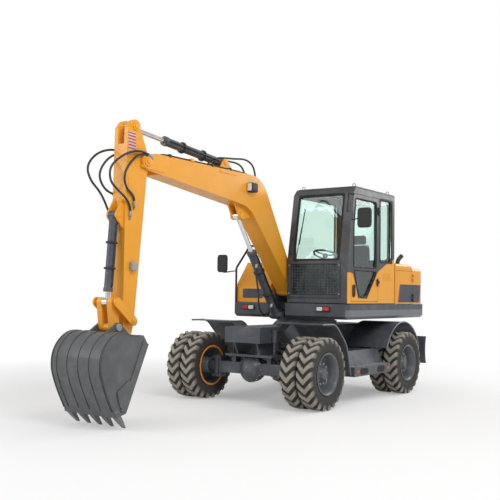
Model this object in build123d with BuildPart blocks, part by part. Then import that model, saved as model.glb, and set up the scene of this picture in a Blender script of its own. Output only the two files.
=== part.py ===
from build123d import *
import os
from math import cos, hypot, radians, sin

# Wheeled excavator with twin tyres, in millimetres: X forward, Y left, Z up, floor at Z = 0

os.makedirs("parts", exist_ok=True)

# Running clearances
PIN_GAP = 0.8
SIDE_GAP = 6.0
SEAT_GAP = 0.3

# Undercarriage layout
WHEELBASE = 2550
FRONT_AXLE_X = 230
REAR_AXLE_X = FRONT_AXLE_X - WHEELBASE
SWING_X = -1200

# Twin wheels
TYRE_RADIUS = 487
TYRE_WIDTH = 232
TWIN_SPACING = 256
OUTER_TYRE_Y = 1110
WHEEL_SIDES = 20
LUG_HEIGHT = 26
LUG_WIDTH = 46
LUG_SWEEP = 46
CARCASS_RADIUS = TYRE_RADIUS - LUG_HEIGHT
SHOULDER_DROP = 62
TREAD_HALF = 98
BEAD_RADIUS = 268
RIM_RADIUS = BEAD_RADIUS - SEAT_GAP
RIM_WALL = 14
RIM_HALF = 92
DISC_WALL = 16
DISC_FROM_OUTER = 150
HUB_RADIUS = 118
HUB_CAP_RADIUS = 78
HUB_CAP_REACH = 90
HUB_INNER_Y = 760
SPINDLE_RADIUS = 60
SPINDLE_DEPTH = 120
AXLE_Z = TYRE_RADIUS

# Axles and steering
KINGPIN_Y = 640
KINGPIN_RADIUS = 30
AXLE_BEAM_HALF = 78
AXLE_BEAM_HEIGHT = 160
AXLE_TUBE_END_Y = 560
DIFF_RADIUS = 185
KNUCKLE_RADIUS = 62
YOKE_RADIUS = 70
YOKE_HALF = 150
YOKE_WALL = 36
LOCK_Y = 350
DRIVE_SHAFT_RADIUS = 45
REAR_TUBE_RADIUS = 85
STEER_ARM = 240
STEER_Z = TYRE_RADIUS + 60
STEER_EYE_HALF = 36
STEER_EYE_WALL = 18
STEER_CYLINDER_X = FRONT_AXLE_X - STEER_ARM
STEER_TUBE_RADIUS = 42
STEER_TUBE_HALF = 260
STEER_ROD_RADIUS = 20
STEER_ROD_HALF = 590
REAR_TUBE_END_Y = 690

# Chassis
CHASSIS_HALF = 300
CHASSIS_BOTTOM = 860
CHASSIS_TOP = 1080
CHASSIS_FRONT_X = 520
CHASSIS_REAR_X = -2720
TURRET_RADIUS = 470
TURRET_TOP = 1150
RING_RADIUS = 440
RING_WALL = 60
DECK_BOTTOM = 1189
CARRIER_PLATE = 24
CARRIER_HALF = 190
AXLE_PAD_HALF_X = 140
AXLE_PAD_HALF_Y = 400
AXLE_PAD_TOP = 690
AXLE_PAD_THICK = 34

# Fenders and steps
FENDER_TOP = 1140
FENDER_INNER_Y = 430
FENDER_OUTER_Y = 1130
FENDER_WALL = 12
FENDER_FRONT_X = 250
FENDER_BRIDGE = 230
STEP_FRONT_X = -560
STEP_REAR_X = -1740
STEP_OUTER_Y = 1180
STEP_INNER_Y = 860
STEP_BOTTOM = 385
STEP_TREAD_Z = 520
STEP_TOP = 730
STEP_SLOPE_Y = 950
REAR_ARCH_TOP = 1135

# Rear blade
BLADE_PIVOT = (-2640, 440)
BLADE_FACE_X = -3070
BLADE_BOTTOM = 435
BLADE_TOP = 880
BLADE_HALF = 1200
BLADE_DISH = 36
BLADE_WALL = 22
BLADE_ARM_Y = 200
BLADE_ARM_WALL = 60
BLADE_BOSS = 50
BLADE_PIN_RADIUS = 24
BLADE_CYL_FOOT = (-2830, 1000)
BLADE_CYL_EYE = (-2830, 500)

# Upper deck
DECK_TOP = 1413
DECK_HALF = 1030
DECK_FRONT_X = -627
DECK_REAR_X = -3380
DECK_CORNER = 90
TAIL_X = -3440
BODY_TOP = 2070

# Boom, arm and bucket, in side view as (X, Z)
BOOM_Y = -190
BOOM_HALF = 138
BOOM_FOOT = (-910, 1600)
BOOM_TIP = (2465, 3130)
BOOM_CYL_FOOT = (-616, 1223)
BOOM_CYL_EYE = (419, 2651)
ARM_CYL_FOOT = (830, 3355)
ARM_CYL_EYE = (2650, 3530)
BUCKET_CYL_FOOT = (2876, 2446)
LINK_PIN = (2950, 1423)
ROCKER_PIN = (2685, 1200)
BUCKET_HINGE = (2730, 970)
BUCKET_PIN = (2910, 1130)
ARM_HALF = 106
BOOM_SLOT_HALF = ARM_HALF + SIDE_GAP
BOOM_EYE_RADIUS = 58
BOOM_EYE_HALF = 42
BOOM_EYE_DRIFT = (-70, 68)
PIN_RADIUS = 32
FOOT_BOSS = 84
TIP_BOSS = 92
EAR_WALL = 26
BUCKET_EAR_INNER = 126
BUCKET_EAR_OUTER = 156
ROCKER_INNER = BUCKET_EAR_OUTER + SIDE_GAP
ROCKER_OUTER = ROCKER_INNER + 22

# Bucket
BUCKET_HALF = 405
BUCKET_WALL = 18
TOOTH_COUNT = 5
TOOTH_HALF = 34
TOOTH_SPAN = 370

# Cab
CAB_LEFT = 1025
CAB_RIGHT = -12
CAB_FLOOR = DECK_TOP + 12
CAB_TOP = 3150
CAB_WALL = 46
CAB_REAR_X = -2195
DOOR_FRONT_X = -760
DOOR_REAR_X = -1610
DOOR_BOTTOM = 1455
DOOR_TOP = 3040
GLASS_WALL = 8
CAB_FRONT_X = DECK_FRONT_X - 15
SILL_Z = 2060
WINDOW_TOP = 3050
HATCH_FRONT_X = -1100
HATCH_REAR_X = -1800
SEAT_Y = 500
GUARD_RIGHT = 20
GUARD_LEFT = 900
GUARD_BOTTOM = 1500
GUARD_TOP = 2040
GUARD_BARS = 14
NOTCH_HALF = 155
WEIGHT_FRONT_X = -2900
HOOD_FRONT_X = -2250
HOOD_BOTTOM = 1960
SIDE_DOOR_FRONT_X = -2280
BONNET_FRONT_X = DECK_FRONT_X - 75
BONNET_INNER_Y = -375

# Hinges of doors, hood and hatch
HINGE_OUT = 16
HINGE_RADIUS = 14
HINGE_PIN = 7
HINGE_KNUCKLE = 20
HINGE_LEAF = 50
DOOR_HINGES_Z = (1750, 2850)
SIDE_DOOR_HINGES_Z = (1520, 1850)
HOOD_HINGES_Y = (-700, 700)
HATCH_HINGES_Y = (380, 620)
DOOR_AXIS_X = DOOR_REAR_X - 3
DOOR_AXIS_Y = CAB_LEFT + HINGE_OUT
SIDE_AXIS_X = WEIGHT_FRONT_X + 3
SIDE_AXIS_Y = DECK_HALF + HINGE_OUT
HOOD_AXIS_X = HOOD_FRONT_X + 3
HOOD_AXIS_Z = BODY_TOP + HINGE_OUT
HATCH_AXIS_X = HATCH_REAR_X - 12
HATCH_AXIS_Z = CAB_TOP + HINGE_OUT


def side(y):
    """Plane that looks along +Y from the given Y, with X to the right and Z up."""
    return Plane.XZ.offset(-y)


def front(x):
    """Plane that faces +X at the given X, with Y to the right and Z up."""
    return Plane.YZ.offset(x)


def save(piece, label):
    """Label a finished piece and write its STEP file."""
    piece.label = label
    export_step(piece, f"parts/{label}.step")


def bar_y(x, z, radius, y_low, y_high, mode=Mode.ADD):
    """Round bar along Y inside the current part."""
    with BuildSketch(side(y_high)) as outline:
        with Locations((x, z)):
            Circle(radius)
    extrude(outline.sketch, amount=y_high - y_low, mode=mode)


def block(x_low, x_high, y_low, y_high, z_low, z_high, mode=Mode.ADD):
    """Straight block between two corners inside the current part."""
    with BuildSketch(Plane.XY.offset(z_low)) as outline:
        with Locations(((x_low + x_high) / 2, (y_low + y_high) / 2)):
            Rectangle(x_high - x_low, y_high - y_low)
    extrude(outline.sketch, amount=z_high - z_low, mode=mode)


def hull_plate(centres, y_low, y_high, mode=Mode.ADD):
    """Plate in side view that wraps the circles (x, z, radius)."""
    with BuildSketch(side(y_high)) as outline:
        for x, z, radius in centres:
            with Locations((x, z)):
                Circle(radius)
        make_hull()
    extrude(outline.sketch, amount=y_high - y_low, mode=mode)


def profile_plate(points, y_low, y_high, mode=Mode.ADD):
    """Plate in side view with straight edges through the points (x, z)."""
    with BuildSketch(side(y_high)) as outline:
        with BuildLine():
            Polyline(*points, close=True)
        make_face()
    extrude(outline.sketch, amount=y_high - y_low, mode=mode)


def bar_z(x, y, radius, z_low, z_high, mode=Mode.ADD):
    """Round bar along Z inside the current part."""
    with BuildSketch(Plane.XY.offset(z_low)) as outline:
        with Locations((x, y)):
            Circle(radius)
    extrude(outline.sketch, amount=z_high - z_low, mode=mode)


def hinge_z(x, y, face_y, z, reach_x, fixed):
    """Half of an upright hinge: its leaf runs from the axis by reach_x along a face at face_y."""
    x_low, x_high = sorted((x, x + reach_x))
    y_low, y_high = sorted((face_y, y))
    if fixed:
        for end in (-1, 1):
            low, high = sorted((z + end * (HINGE_KNUCKLE + SIDE_GAP), z + end * 3 * HINGE_KNUCKLE))
            bar_z(x, y, HINGE_RADIUS, low, high)
            block(x_low, x_high, y_low, y_high, low, high)
        bar_z(x, y, HINGE_PIN, z - 3 * HINGE_KNUCKLE, z + 3 * HINGE_KNUCKLE)
    else:
        bar_z(x, y, HINGE_RADIUS, z - HINGE_KNUCKLE, z + HINGE_KNUCKLE)
        block(x_low, x_high, y_low, y_high, z - HINGE_KNUCKLE, z + HINGE_KNUCKLE)
        bar_z(x, y, HINGE_PIN + PIN_GAP, z - HINGE_KNUCKLE, z + HINGE_KNUCKLE, Mode.SUBTRACT)


def hinge_y(x, z, face_z, y, reach_x, fixed):
    """Half of a level hinge across the machine: its leaf runs from the axis by reach_x on a face at face_z."""
    x_low, x_high = sorted((x, x + reach_x))
    if fixed:
        for end in (-1, 1):
            low, high = sorted((y + end * (HINGE_KNUCKLE + SIDE_GAP), y + end * 3 * HINGE_KNUCKLE))
            bar_y(x, z, HINGE_RADIUS, low, high)
            block(x_low, x_high, low, high, face_z, z)
        bar_y(x, z, HINGE_PIN, y - 3 * HINGE_KNUCKLE, y + 3 * HINGE_KNUCKLE)
    else:
        bar_y(x, z, HINGE_RADIUS, y - HINGE_KNUCKLE, y + HINGE_KNUCKLE)
        block(x_low, x_high, y - HINGE_KNUCKLE, y + HINGE_KNUCKLE, face_z, z)
        bar_y(x, z, HINGE_PIN + PIN_GAP, y - HINGE_KNUCKLE, y + HINGE_KNUCKLE, Mode.SUBTRACT)


def aim(foot, eye, y):
    """Plane at a cylinder's foot whose normal runs to its rod eye."""
    run = Vector(eye[0] - foot[0], 0, eye[1] - foot[1]).normalized()
    return Plane(origin=(foot[0], y, foot[1]), x_dir=(0, 1, 0), z_dir=run)


def reach(foot, eye):
    """Distance between two side-view points."""
    return hypot(eye[0] - foot[0], eye[1] - foot[1])


# Hydraulic cylinders in side view. The barrel's length runs from its foot pin to the gland, and the
# rod's start is how far its inner end stands from the bore's bottom at rest
# columns: name, foot, eye, y, tube radius, rod radius, barrel length, rod start, boss radius, eye half width, pin
CYLINDERS = [
    ("boom_cylinder", BOOM_CYL_FOOT, BOOM_CYL_EYE, BOOM_Y, 66, 32, 1150, 420, BOOM_EYE_RADIUS, BOOM_EYE_HALF,
     PIN_RADIUS),
    ("arm_cylinder", ARM_CYL_FOOT, ARM_CYL_EYE, BOOM_Y, 56, 29, 1200, 520, 54, 40, PIN_RADIUS),
    ("bucket_cylinder", BUCKET_CYL_FOOT, LINK_PIN, BOOM_Y, 50, 26, 905, 60, 54, 38, PIN_RADIUS),
    ("blade_cylinder", BLADE_CYL_FOOT, BLADE_CYL_EYE, 0, 42, 20, 400, 40, 45, 30, BLADE_PIN_RADIUS),
]
BASE_WALL = 26
GLAND_LENGTH = 46
GLAND_PROUD = 7


def cylinder_barrel(name, foot, eye, y, tube, rod, length, start, boss, half, pin):
    """Barrel with its foot boss and gland, bored for the pin and for the rod."""
    axis = aim(foot, eye, y)
    with BuildPart() as barrel:
        bar_y(foot[0], foot[1], boss, y - tube, y + tube)
        with BuildSketch(axis):
            Circle(tube)
        extrude(amount=length)
        with BuildSketch(axis.offset(length - GLAND_LENGTH)):
            Circle(tube + GLAND_PROUD)
        extrude(amount=GLAND_LENGTH)
        with BuildSketch(axis.offset(boss + BASE_WALL)):
            Circle(rod + PIN_GAP)
        extrude(amount=length, mode=Mode.SUBTRACT)
        bar_y(foot[0], foot[1], pin + PIN_GAP, y - tube, y + tube, Mode.SUBTRACT)
    save(barrel.part, name + "_barrel")


def cylinder_rod(name, foot, eye, y, tube, rod, length, start, boss, half, pin):
    """Rod from inside the barrel to its eye, which is bored and left without a pin."""
    axis = aim(foot, eye, y)
    inner_end = boss + BASE_WALL + start
    with BuildPart() as piece:
        with BuildSketch(axis.offset(inner_end)):
            Circle(rod)
        extrude(amount=reach(foot, eye) - inner_end)
        bar_y(eye[0], eye[1], boss, y - half, y + half)
        bar_y(eye[0], eye[1], pin + PIN_GAP, y - half, y + half, Mode.SUBTRACT)
    save(piece.part, name + "_rod")


# Tyre and rim, made once about their own Z axis
# columns: section's Z from the tyre's middle, radius to the flats' corners
TYRE_SECTIONS = [
    (-TYRE_WIDTH / 2, CARCASS_RADIUS - SHOULDER_DROP),
    (-TREAD_HALF, CARCASS_RADIUS),
    (TREAD_HALF, CARCASS_RADIUS),
    (TYRE_WIDTH / 2, CARCASS_RADIUS - SHOULDER_DROP),
]
FACET_TURN = 180 / WHEEL_SIDES
LUG_ROOT = CARCASS_RADIUS - SHOULDER_DROP - 8
LUG_FRONT = (LUG_SWEEP + LUG_WIDTH) / 2

with BuildPart() as tyre:
    for (z_low, r_low), (z_high, r_high) in zip(TYRE_SECTIONS, TYRE_SECTIONS[1:]):
        with BuildSketch(Plane.XY.offset(z_low)):
            RegularPolygon(r_low, WHEEL_SIDES, rotation=FACET_TURN)
        with BuildSketch(Plane.XY.offset(z_high)):
            RegularPolygon(r_high, WHEEL_SIDES, rotation=FACET_TURN)
        loft(ruled=True)
    for facet in range(WHEEL_SIDES):
        turn = radians(2 * FACET_TURN * facet)
        out = Vector(cos(turn), sin(turn), 0)
        with BuildSketch(Plane(origin=out * LUG_ROOT, x_dir=(0, 0, 1), z_dir=out)):
            with BuildLine():
                Polyline(
                    (0, LUG_FRONT),
                    (TREAD_HALF, LUG_FRONT - LUG_SWEEP),
                    (TREAD_HALF, -LUG_FRONT),
                    (0, LUG_FRONT - LUG_WIDTH),
                    (-TREAD_HALF, -LUG_FRONT),
                    (-TREAD_HALF, LUG_FRONT - LUG_SWEEP),
                    close=True,
                )
            make_face()
        extrude(amount=TYRE_RADIUS - LUG_ROOT)
    with BuildSketch(Plane.XY.offset(-TYRE_WIDTH / 2)):
        RegularPolygon(BEAD_RADIUS, WHEEL_SIDES, rotation=FACET_TURN)
    extrude(amount=TYRE_WIDTH, mode=Mode.SUBTRACT)

with BuildPart() as rim:
    with BuildSketch(Plane.XY.offset(-RIM_HALF)):
        RegularPolygon(RIM_RADIUS, WHEEL_SIDES, rotation=FACET_TURN)
        RegularPolygon(RIM_RADIUS - RIM_WALL, WHEEL_SIDES, rotation=FACET_TURN, mode=Mode.SUBTRACT)
    extrude(amount=2 * RIM_HALF)

# Twin wheels: columns are name, axle X, side (+1 left, -1 right)
WHEELS = [
    ("wheel_front_left", FRONT_AXLE_X, 1),
    ("wheel_front_right", FRONT_AXLE_X, -1),
    ("wheel_rear_left", REAR_AXLE_X, 1),
    ("wheel_rear_right", REAR_AXLE_X, -1),
]
for name, axle_x, hand in WHEELS:
    outer_y = OUTER_TYRE_Y
    inner_y = OUTER_TYRE_Y - TWIN_SPACING
    disc_y = OUTER_TYRE_Y + TYRE_WIDTH / 2 - DISC_FROM_OUTER
    with BuildPart() as tyres:
        for tyre_y in (outer_y, inner_y):
            add(tyre.part.moved(Location((axle_x, hand * tyre_y, AXLE_Z), (-90 * hand, 0, 0))))
    save(tyres.part, name + "_tyres")
    with BuildPart() as rims:
        for tyre_y in (outer_y, inner_y):
            add(rim.part.moved(Location((axle_x, hand * tyre_y, AXLE_Z), (-90 * hand, 0, 0))))
        with BuildSketch(Plane(origin=(axle_x, hand * disc_y, AXLE_Z), x_dir=(1, 0, 0), z_dir=(0, -hand, 0))):
            RegularPolygon(RIM_RADIUS - RIM_WALL / 2, WHEEL_SIDES, rotation=FACET_TURN)
        extrude(amount=2 * DISC_WALL)
        low, high = sorted((hand * (inner_y + RIM_HALF - DISC_WALL), hand * (inner_y + RIM_HALF)))
        with BuildSketch(side(high)):
            with Locations((axle_x, AXLE_Z)):
                RegularPolygon(RIM_RADIUS - RIM_WALL / 2, WHEEL_SIDES, rotation=FACET_TURN)
        extrude(amount=high - low)
        for radius, end_y in ((HUB_RADIUS, disc_y), (HUB_CAP_RADIUS, disc_y + HUB_CAP_REACH)):
            low, high = sorted((hand * HUB_INNER_Y, hand * end_y))
            bar_y(axle_x, AXLE_Z, radius, low, high)
        low, high = sorted((hand * HUB_INNER_Y, hand * (HUB_INNER_Y + SPINDLE_DEPTH)))
        bar_y(axle_x, AXLE_Z, SPINDLE_RADIUS + PIN_GAP, low, high, Mode.SUBTRACT)
    save(rims.part, name + "_rims")

# Front axle: beam, drive housing, pad under the carrier and the yokes at its ends
AXLE_TOP = AXLE_Z + AXLE_BEAM_HEIGHT / 2
with BuildPart() as front_axle:
    block(FRONT_AXLE_X - AXLE_BEAM_HALF, FRONT_AXLE_X + AXLE_BEAM_HALF, -AXLE_TUBE_END_Y, AXLE_TUBE_END_Y,
          AXLE_Z - AXLE_BEAM_HEIGHT / 2, AXLE_TOP)
    with Locations((FRONT_AXLE_X, 0, AXLE_Z)):
        Sphere(DIFF_RADIUS)
    block(FRONT_AXLE_X - AXLE_PAD_HALF_X, FRONT_AXLE_X + AXLE_PAD_HALF_X, -AXLE_PAD_HALF_Y, AXLE_PAD_HALF_Y,
          AXLE_PAD_TOP - AXLE_PAD_THICK, AXLE_PAD_TOP)
    for hand in (-1, 1):
        block(FRONT_AXLE_X - 60, FRONT_AXLE_X + 60, hand * 300 - 30, hand * 300 + 30, AXLE_TOP - 5,
              AXLE_PAD_TOP - AXLE_PAD_THICK + 5)
        yoke_low, yoke_high = sorted((hand * (AXLE_TUBE_END_Y - 20), hand * (KINGPIN_Y + YOKE_RADIUS - 10)))
        block(FRONT_AXLE_X - YOKE_RADIUS, FRONT_AXLE_X + YOKE_RADIUS, yoke_low, yoke_high,
              AXLE_Z - YOKE_HALF, AXLE_Z + YOKE_HALF)
        throat_low, throat_high = sorted((hand * (AXLE_TUBE_END_Y + 8), hand * (KINGPIN_Y + YOKE_RADIUS)))
        block(FRONT_AXLE_X - YOKE_RADIUS, FRONT_AXLE_X + YOKE_RADIUS, throat_low, throat_high,
              AXLE_Z - YOKE_HALF + YOKE_WALL, AXLE_Z + YOKE_HALF - YOKE_WALL, Mode.SUBTRACT)
        with BuildSketch(Plane.XY.offset(AXLE_Z - YOKE_HALF)):
            with Locations((FRONT_AXLE_X, hand * KINGPIN_Y)):
                Circle(KINGPIN_RADIUS + PIN_GAP)
        extrude(amount=2 * YOKE_HALF, mode=Mode.SUBTRACT)
save(front_axle.part, "front_axle")

# Steering knuckles with kingpin, spindle and steering arm
for label, hand in (("knuckle_left", 1), ("knuckle_right", -1)):
    with BuildPart() as knuckle:
        with BuildSketch(Plane.XY.offset(AXLE_Z - YOKE_HALF + YOKE_WALL + SEAT_GAP)):
            with Locations((FRONT_AXLE_X, hand * KINGPIN_Y)):
                Circle(KNUCKLE_RADIUS)
        extrude(amount=2 * (YOKE_HALF - YOKE_WALL - SEAT_GAP))
        with BuildSketch(Plane.XY.offset(AXLE_Z - YOKE_HALF - 12)):
            with Locations((FRONT_AXLE_X, hand * KINGPIN_Y)):
                Circle(KINGPIN_RADIUS)
        extrude(amount=2 * (YOKE_HALF + 12))
        low, high = sorted((hand * KINGPIN_Y, hand * (HUB_INNER_Y - SEAT_GAP)))
        bar_y(FRONT_AXLE_X, AXLE_Z, SPINDLE_RADIUS + 30, low, high)
        low, high = sorted((hand * KINGPIN_Y, hand * (HUB_INNER_Y + SPINDLE_DEPTH - 2)))
        bar_y(FRONT_AXLE_X, AXLE_Z, SPINDLE_RADIUS, low, high)
        low, high = sorted((hand * (KINGPIN_Y - 24), hand * (KINGPIN_Y + 24)))
        block(FRONT_AXLE_X - STEER_ARM - 30, FRONT_AXLE_X, low, high, STEER_Z - 18, STEER_Z + 18)
    save(knuckle.part, label)

# Steering cylinder behind the axle, and its through rod with an eye over each steering arm
with BuildPart() as steering_cylinder:
    bar_y(STEER_CYLINDER_X, STEER_Z, STEER_TUBE_RADIUS, -STEER_TUBE_HALF, STEER_TUBE_HALF)
    bar_y(STEER_CYLINDER_X, STEER_Z, STEER_ROD_RADIUS + PIN_GAP, -STEER_TUBE_HALF, STEER_TUBE_HALF, Mode.SUBTRACT)
    for hand in (-1, 1):
        block(STEER_CYLINDER_X + STEER_ROD_RADIUS + 8, FRONT_AXLE_X - AXLE_BEAM_HALF - SEAT_GAP, hand * 225 - 15,
              hand * 225 + 15, STEER_Z - 20, STEER_Z + 20)
save(steering_cylinder.part, "steering_cylinder")
with BuildPart() as steering_rod:
    bar_y(STEER_CYLINDER_X, STEER_Z, STEER_ROD_RADIUS, -STEER_ROD_HALF, STEER_ROD_HALF)
    for hand in (-1, 1):
        eye_z = STEER_Z + 18 + SIDE_GAP
        low, high = sorted((hand * (STEER_ROD_HALF - 30), hand * STEER_ROD_HALF))
        block(STEER_CYLINDER_X - 20, STEER_CYLINDER_X + 20, low, high, STEER_Z, eye_z + STEER_EYE_WALL)
        with BuildSketch(Plane.XY.offset(eye_z)):
            with Locations((STEER_CYLINDER_X, hand * KINGPIN_Y)):
                Circle(STEER_EYE_HALF)
            with Locations((STEER_CYLINDER_X, hand * (STEER_ROD_HALF - 15))):
                Circle(20)
            make_hull()
        extrude(amount=STEER_EYE_WALL)
save(steering_rod.part, "steering_rod")

# Rear axle with its drive housing and fixed spindles
with BuildPart() as rear_axle:
    bar_y(REAR_AXLE_X, AXLE_Z, REAR_TUBE_RADIUS, -REAR_TUBE_END_Y, REAR_TUBE_END_Y)
    with Locations((REAR_AXLE_X, 0, AXLE_Z)):
        Sphere(DIFF_RADIUS)
    for hand in (-1, 1):
        low, high = sorted((hand * REAR_TUBE_END_Y, hand * (HUB_INNER_Y + SPINDLE_DEPTH - 2)))
        bar_y(REAR_AXLE_X, AXLE_Z, SPINDLE_RADIUS, low, high)
        low, high = sorted((hand * REAR_TUBE_END_Y, hand * (HUB_INNER_Y - SEAT_GAP)))
        bar_y(REAR_AXLE_X, AXLE_Z, SPINDLE_RADIUS + 30, low, high)
        block(REAR_AXLE_X - 90, REAR_AXLE_X + 90, hand * 330 - 60, hand * 330 + 60, AXLE_Z + 40, AXLE_PAD_TOP)
save(rear_axle.part, "rear_axle")

# Drive shaft between the axles' housings
with BuildPart() as drive_shaft:
    with BuildSketch(front(REAR_AXLE_X + DIFF_RADIUS - 8)):
        with Locations((0, AXLE_Z - 60)):
            Circle(DRIVE_SHAFT_RADIUS)
    extrude(amount=WHEELBASE - 2 * DIFF_RADIUS + 16)
    for axle_x in (FRONT_AXLE_X, REAR_AXLE_X):
        with Locations((axle_x, 0, AXLE_Z)):
            Sphere(DIFF_RADIUS + SEAT_GAP, mode=Mode.SUBTRACT)
save(drive_shaft.part, "drive_shaft")

# Chassis: box beam, carriers over the axles and the round turret
with BuildPart() as chassis:
    block(CHASSIS_REAR_X, CHASSIS_FRONT_X, -CHASSIS_HALF, CHASSIS_HALF, CHASSIS_BOTTOM, CHASSIS_TOP)
    with BuildSketch(Plane.XY.offset(CHASSIS_BOTTOM)):
        with Locations((SWING_X, 0)):
            Circle(TURRET_RADIUS)
    extrude(amount=TURRET_TOP - CHASSIS_BOTTOM)
    for axle_x in (FRONT_AXLE_X, REAR_AXLE_X):
        for hand in (-1, 1):
            low = hand * CARRIER_HALF - CARRIER_PLATE / 2
            profile_plate([(axle_x - 260, CHASSIS_BOTTOM + 10), (axle_x - 130, AXLE_PAD_TOP + SEAT_GAP),
                           (axle_x + 130, AXLE_PAD_TOP + SEAT_GAP), (axle_x + 220, CHASSIS_BOTTOM + 10)],
                          low, low + CARRIER_PLATE)
save(chassis.part, "chassis")

# Slew ring's outer race, bolted to the turret
with BuildPart() as slew_ring:
    with BuildSketch(Plane.XY.offset(TURRET_TOP)):
        with Locations((SWING_X, 0)):
            Circle(RING_RADIUS)
            Circle(RING_RADIUS - RING_WALL, mode=Mode.SUBTRACT)
    extrude(amount=DECK_BOTTOM - TURRET_TOP - SIDE_GAP)
save(slew_ring.part, "slew_ring")

# Front fenders: bent plate from the chassis over the wheels and down to the steps
with BuildPart() as front_fenders:
    for hand in (-1, 1):
        low, high = sorted((hand * FENDER_INNER_Y, hand * FENDER_OUTER_Y))
        with BuildSketch(side(high)):
            with BuildLine():
                FilletPolyline(
                    (FENDER_FRONT_X, FENDER_TOP),
                    (-110, FENDER_TOP),
                    (-430, 850),
                    (STEP_FRONT_X - FENDER_WALL / 2 - SEAT_GAP, 400),
                    radius=200,
                )
            trace(line_width=FENDER_WALL)
        extrude(amount=high - low)
        section = [
            (hand * (CHASSIS_HALF + SEAT_GAP), CHASSIS_TOP - 50),
            (hand * (CHASSIS_HALF + 40), CHASSIS_TOP - 50),
            (hand * (FENDER_INNER_Y + 8), FENDER_TOP),
        ]
        with BuildSketch(front(-60)):
            with BuildLine():
                Polyline(*section)
            trace(line_width=FENDER_WALL)
        extrude(amount=FENDER_BRIDGE)
save(front_fenders.part, "front_fenders")

# Rear fenders: arches over the rear wheels
with BuildPart() as rear_fenders:
    for hand in (-1, 1):
        low, high = sorted((hand * FENDER_INNER_Y, hand * FENDER_OUTER_Y))
        with BuildSketch(side(high)):
            with Locations((REAR_AXLE_X, AXLE_Z)):
                Circle(REAR_ARCH_TOP - AXLE_Z)
                Circle(REAR_ARCH_TOP - AXLE_Z - FENDER_WALL, mode=Mode.SUBTRACT)
            with Locations((REAR_AXLE_X, AXLE_Z - 800 + 254)):
                Rectangle(1600, 1600, mode=Mode.SUBTRACT)
        extrude(amount=high - low)
        bridge_low, bridge_high = sorted((hand * CHASSIS_HALF, hand * (FENDER_INNER_Y + 10)))
        block(REAR_AXLE_X - 200, REAR_AXLE_X + 200, bridge_low, bridge_high, CHASSIS_TOP - 30, CHASSIS_TOP - 10)
        riser_low, riser_high = sorted((hand * FENDER_INNER_Y, hand * (FENDER_INNER_Y + 10)))
        block(REAR_AXLE_X - 200, REAR_AXLE_X + 200, riser_low, riser_high, CHASSIS_TOP - 30, REAR_ARCH_TOP - 40)
save(rear_fenders.part, "rear_fenders")

# Step boxes between the wheels, with a sloped upper face and a tread
with BuildPart() as step_boxes:
    for hand in (-1, 1):
        section = [
            (hand * STEP_OUTER_Y, STEP_BOTTOM),
            (hand * STEP_OUTER_Y, STEP_TREAD_Z),
            (hand * (STEP_OUTER_Y - 130), STEP_TREAD_Z),
            (hand * STEP_SLOPE_Y, STEP_TOP),
            (hand * STEP_INNER_Y, STEP_TOP),
            (hand * STEP_INNER_Y, STEP_BOTTOM),
        ]
        with BuildSketch(front(STEP_REAR_X)):
            with BuildLine():
                Polyline(*section, close=True)
            make_face()
        extrude(amount=STEP_FRONT_X - FENDER_WALL * 2 - STEP_REAR_X)
        low, high = sorted((hand * CHASSIS_HALF, hand * STEP_INNER_Y))
        for x in (STEP_REAR_X + 200, STEP_FRONT_X - 300):
            block(x, x + 80, low, high, STEP_TOP - 60, STEP_TOP)
            low2, high2 = sorted((hand * (CHASSIS_HALF - 60), hand * CHASSIS_HALF))
            block(x, x + 80, low2, high2, STEP_TOP - 60, CHASSIS_BOTTOM)
save(step_boxes.part, "step_boxes")

# Axle lock cylinders between the chassis and the front axle
with BuildPart() as lock_cylinders:
    for hand in (-1, 1):
        for radius, z_low, z_high in ((38, 860, 1040), (18, AXLE_PAD_TOP + SEAT_GAP, 860)):
            with BuildSketch(Plane.XY.offset(z_low)):
                with Locations((FRONT_AXLE_X, hand * LOCK_Y)):
                    Circle(radius)
            extrude(amount=z_high - z_low)
        low, high = sorted((hand * CHASSIS_HALF, hand * LOCK_Y))
        block(FRONT_AXLE_X - 20, FRONT_AXLE_X + 20, low, high, 940, 1000)
save(lock_cylinders.part, "lock_cylinders")

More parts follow.
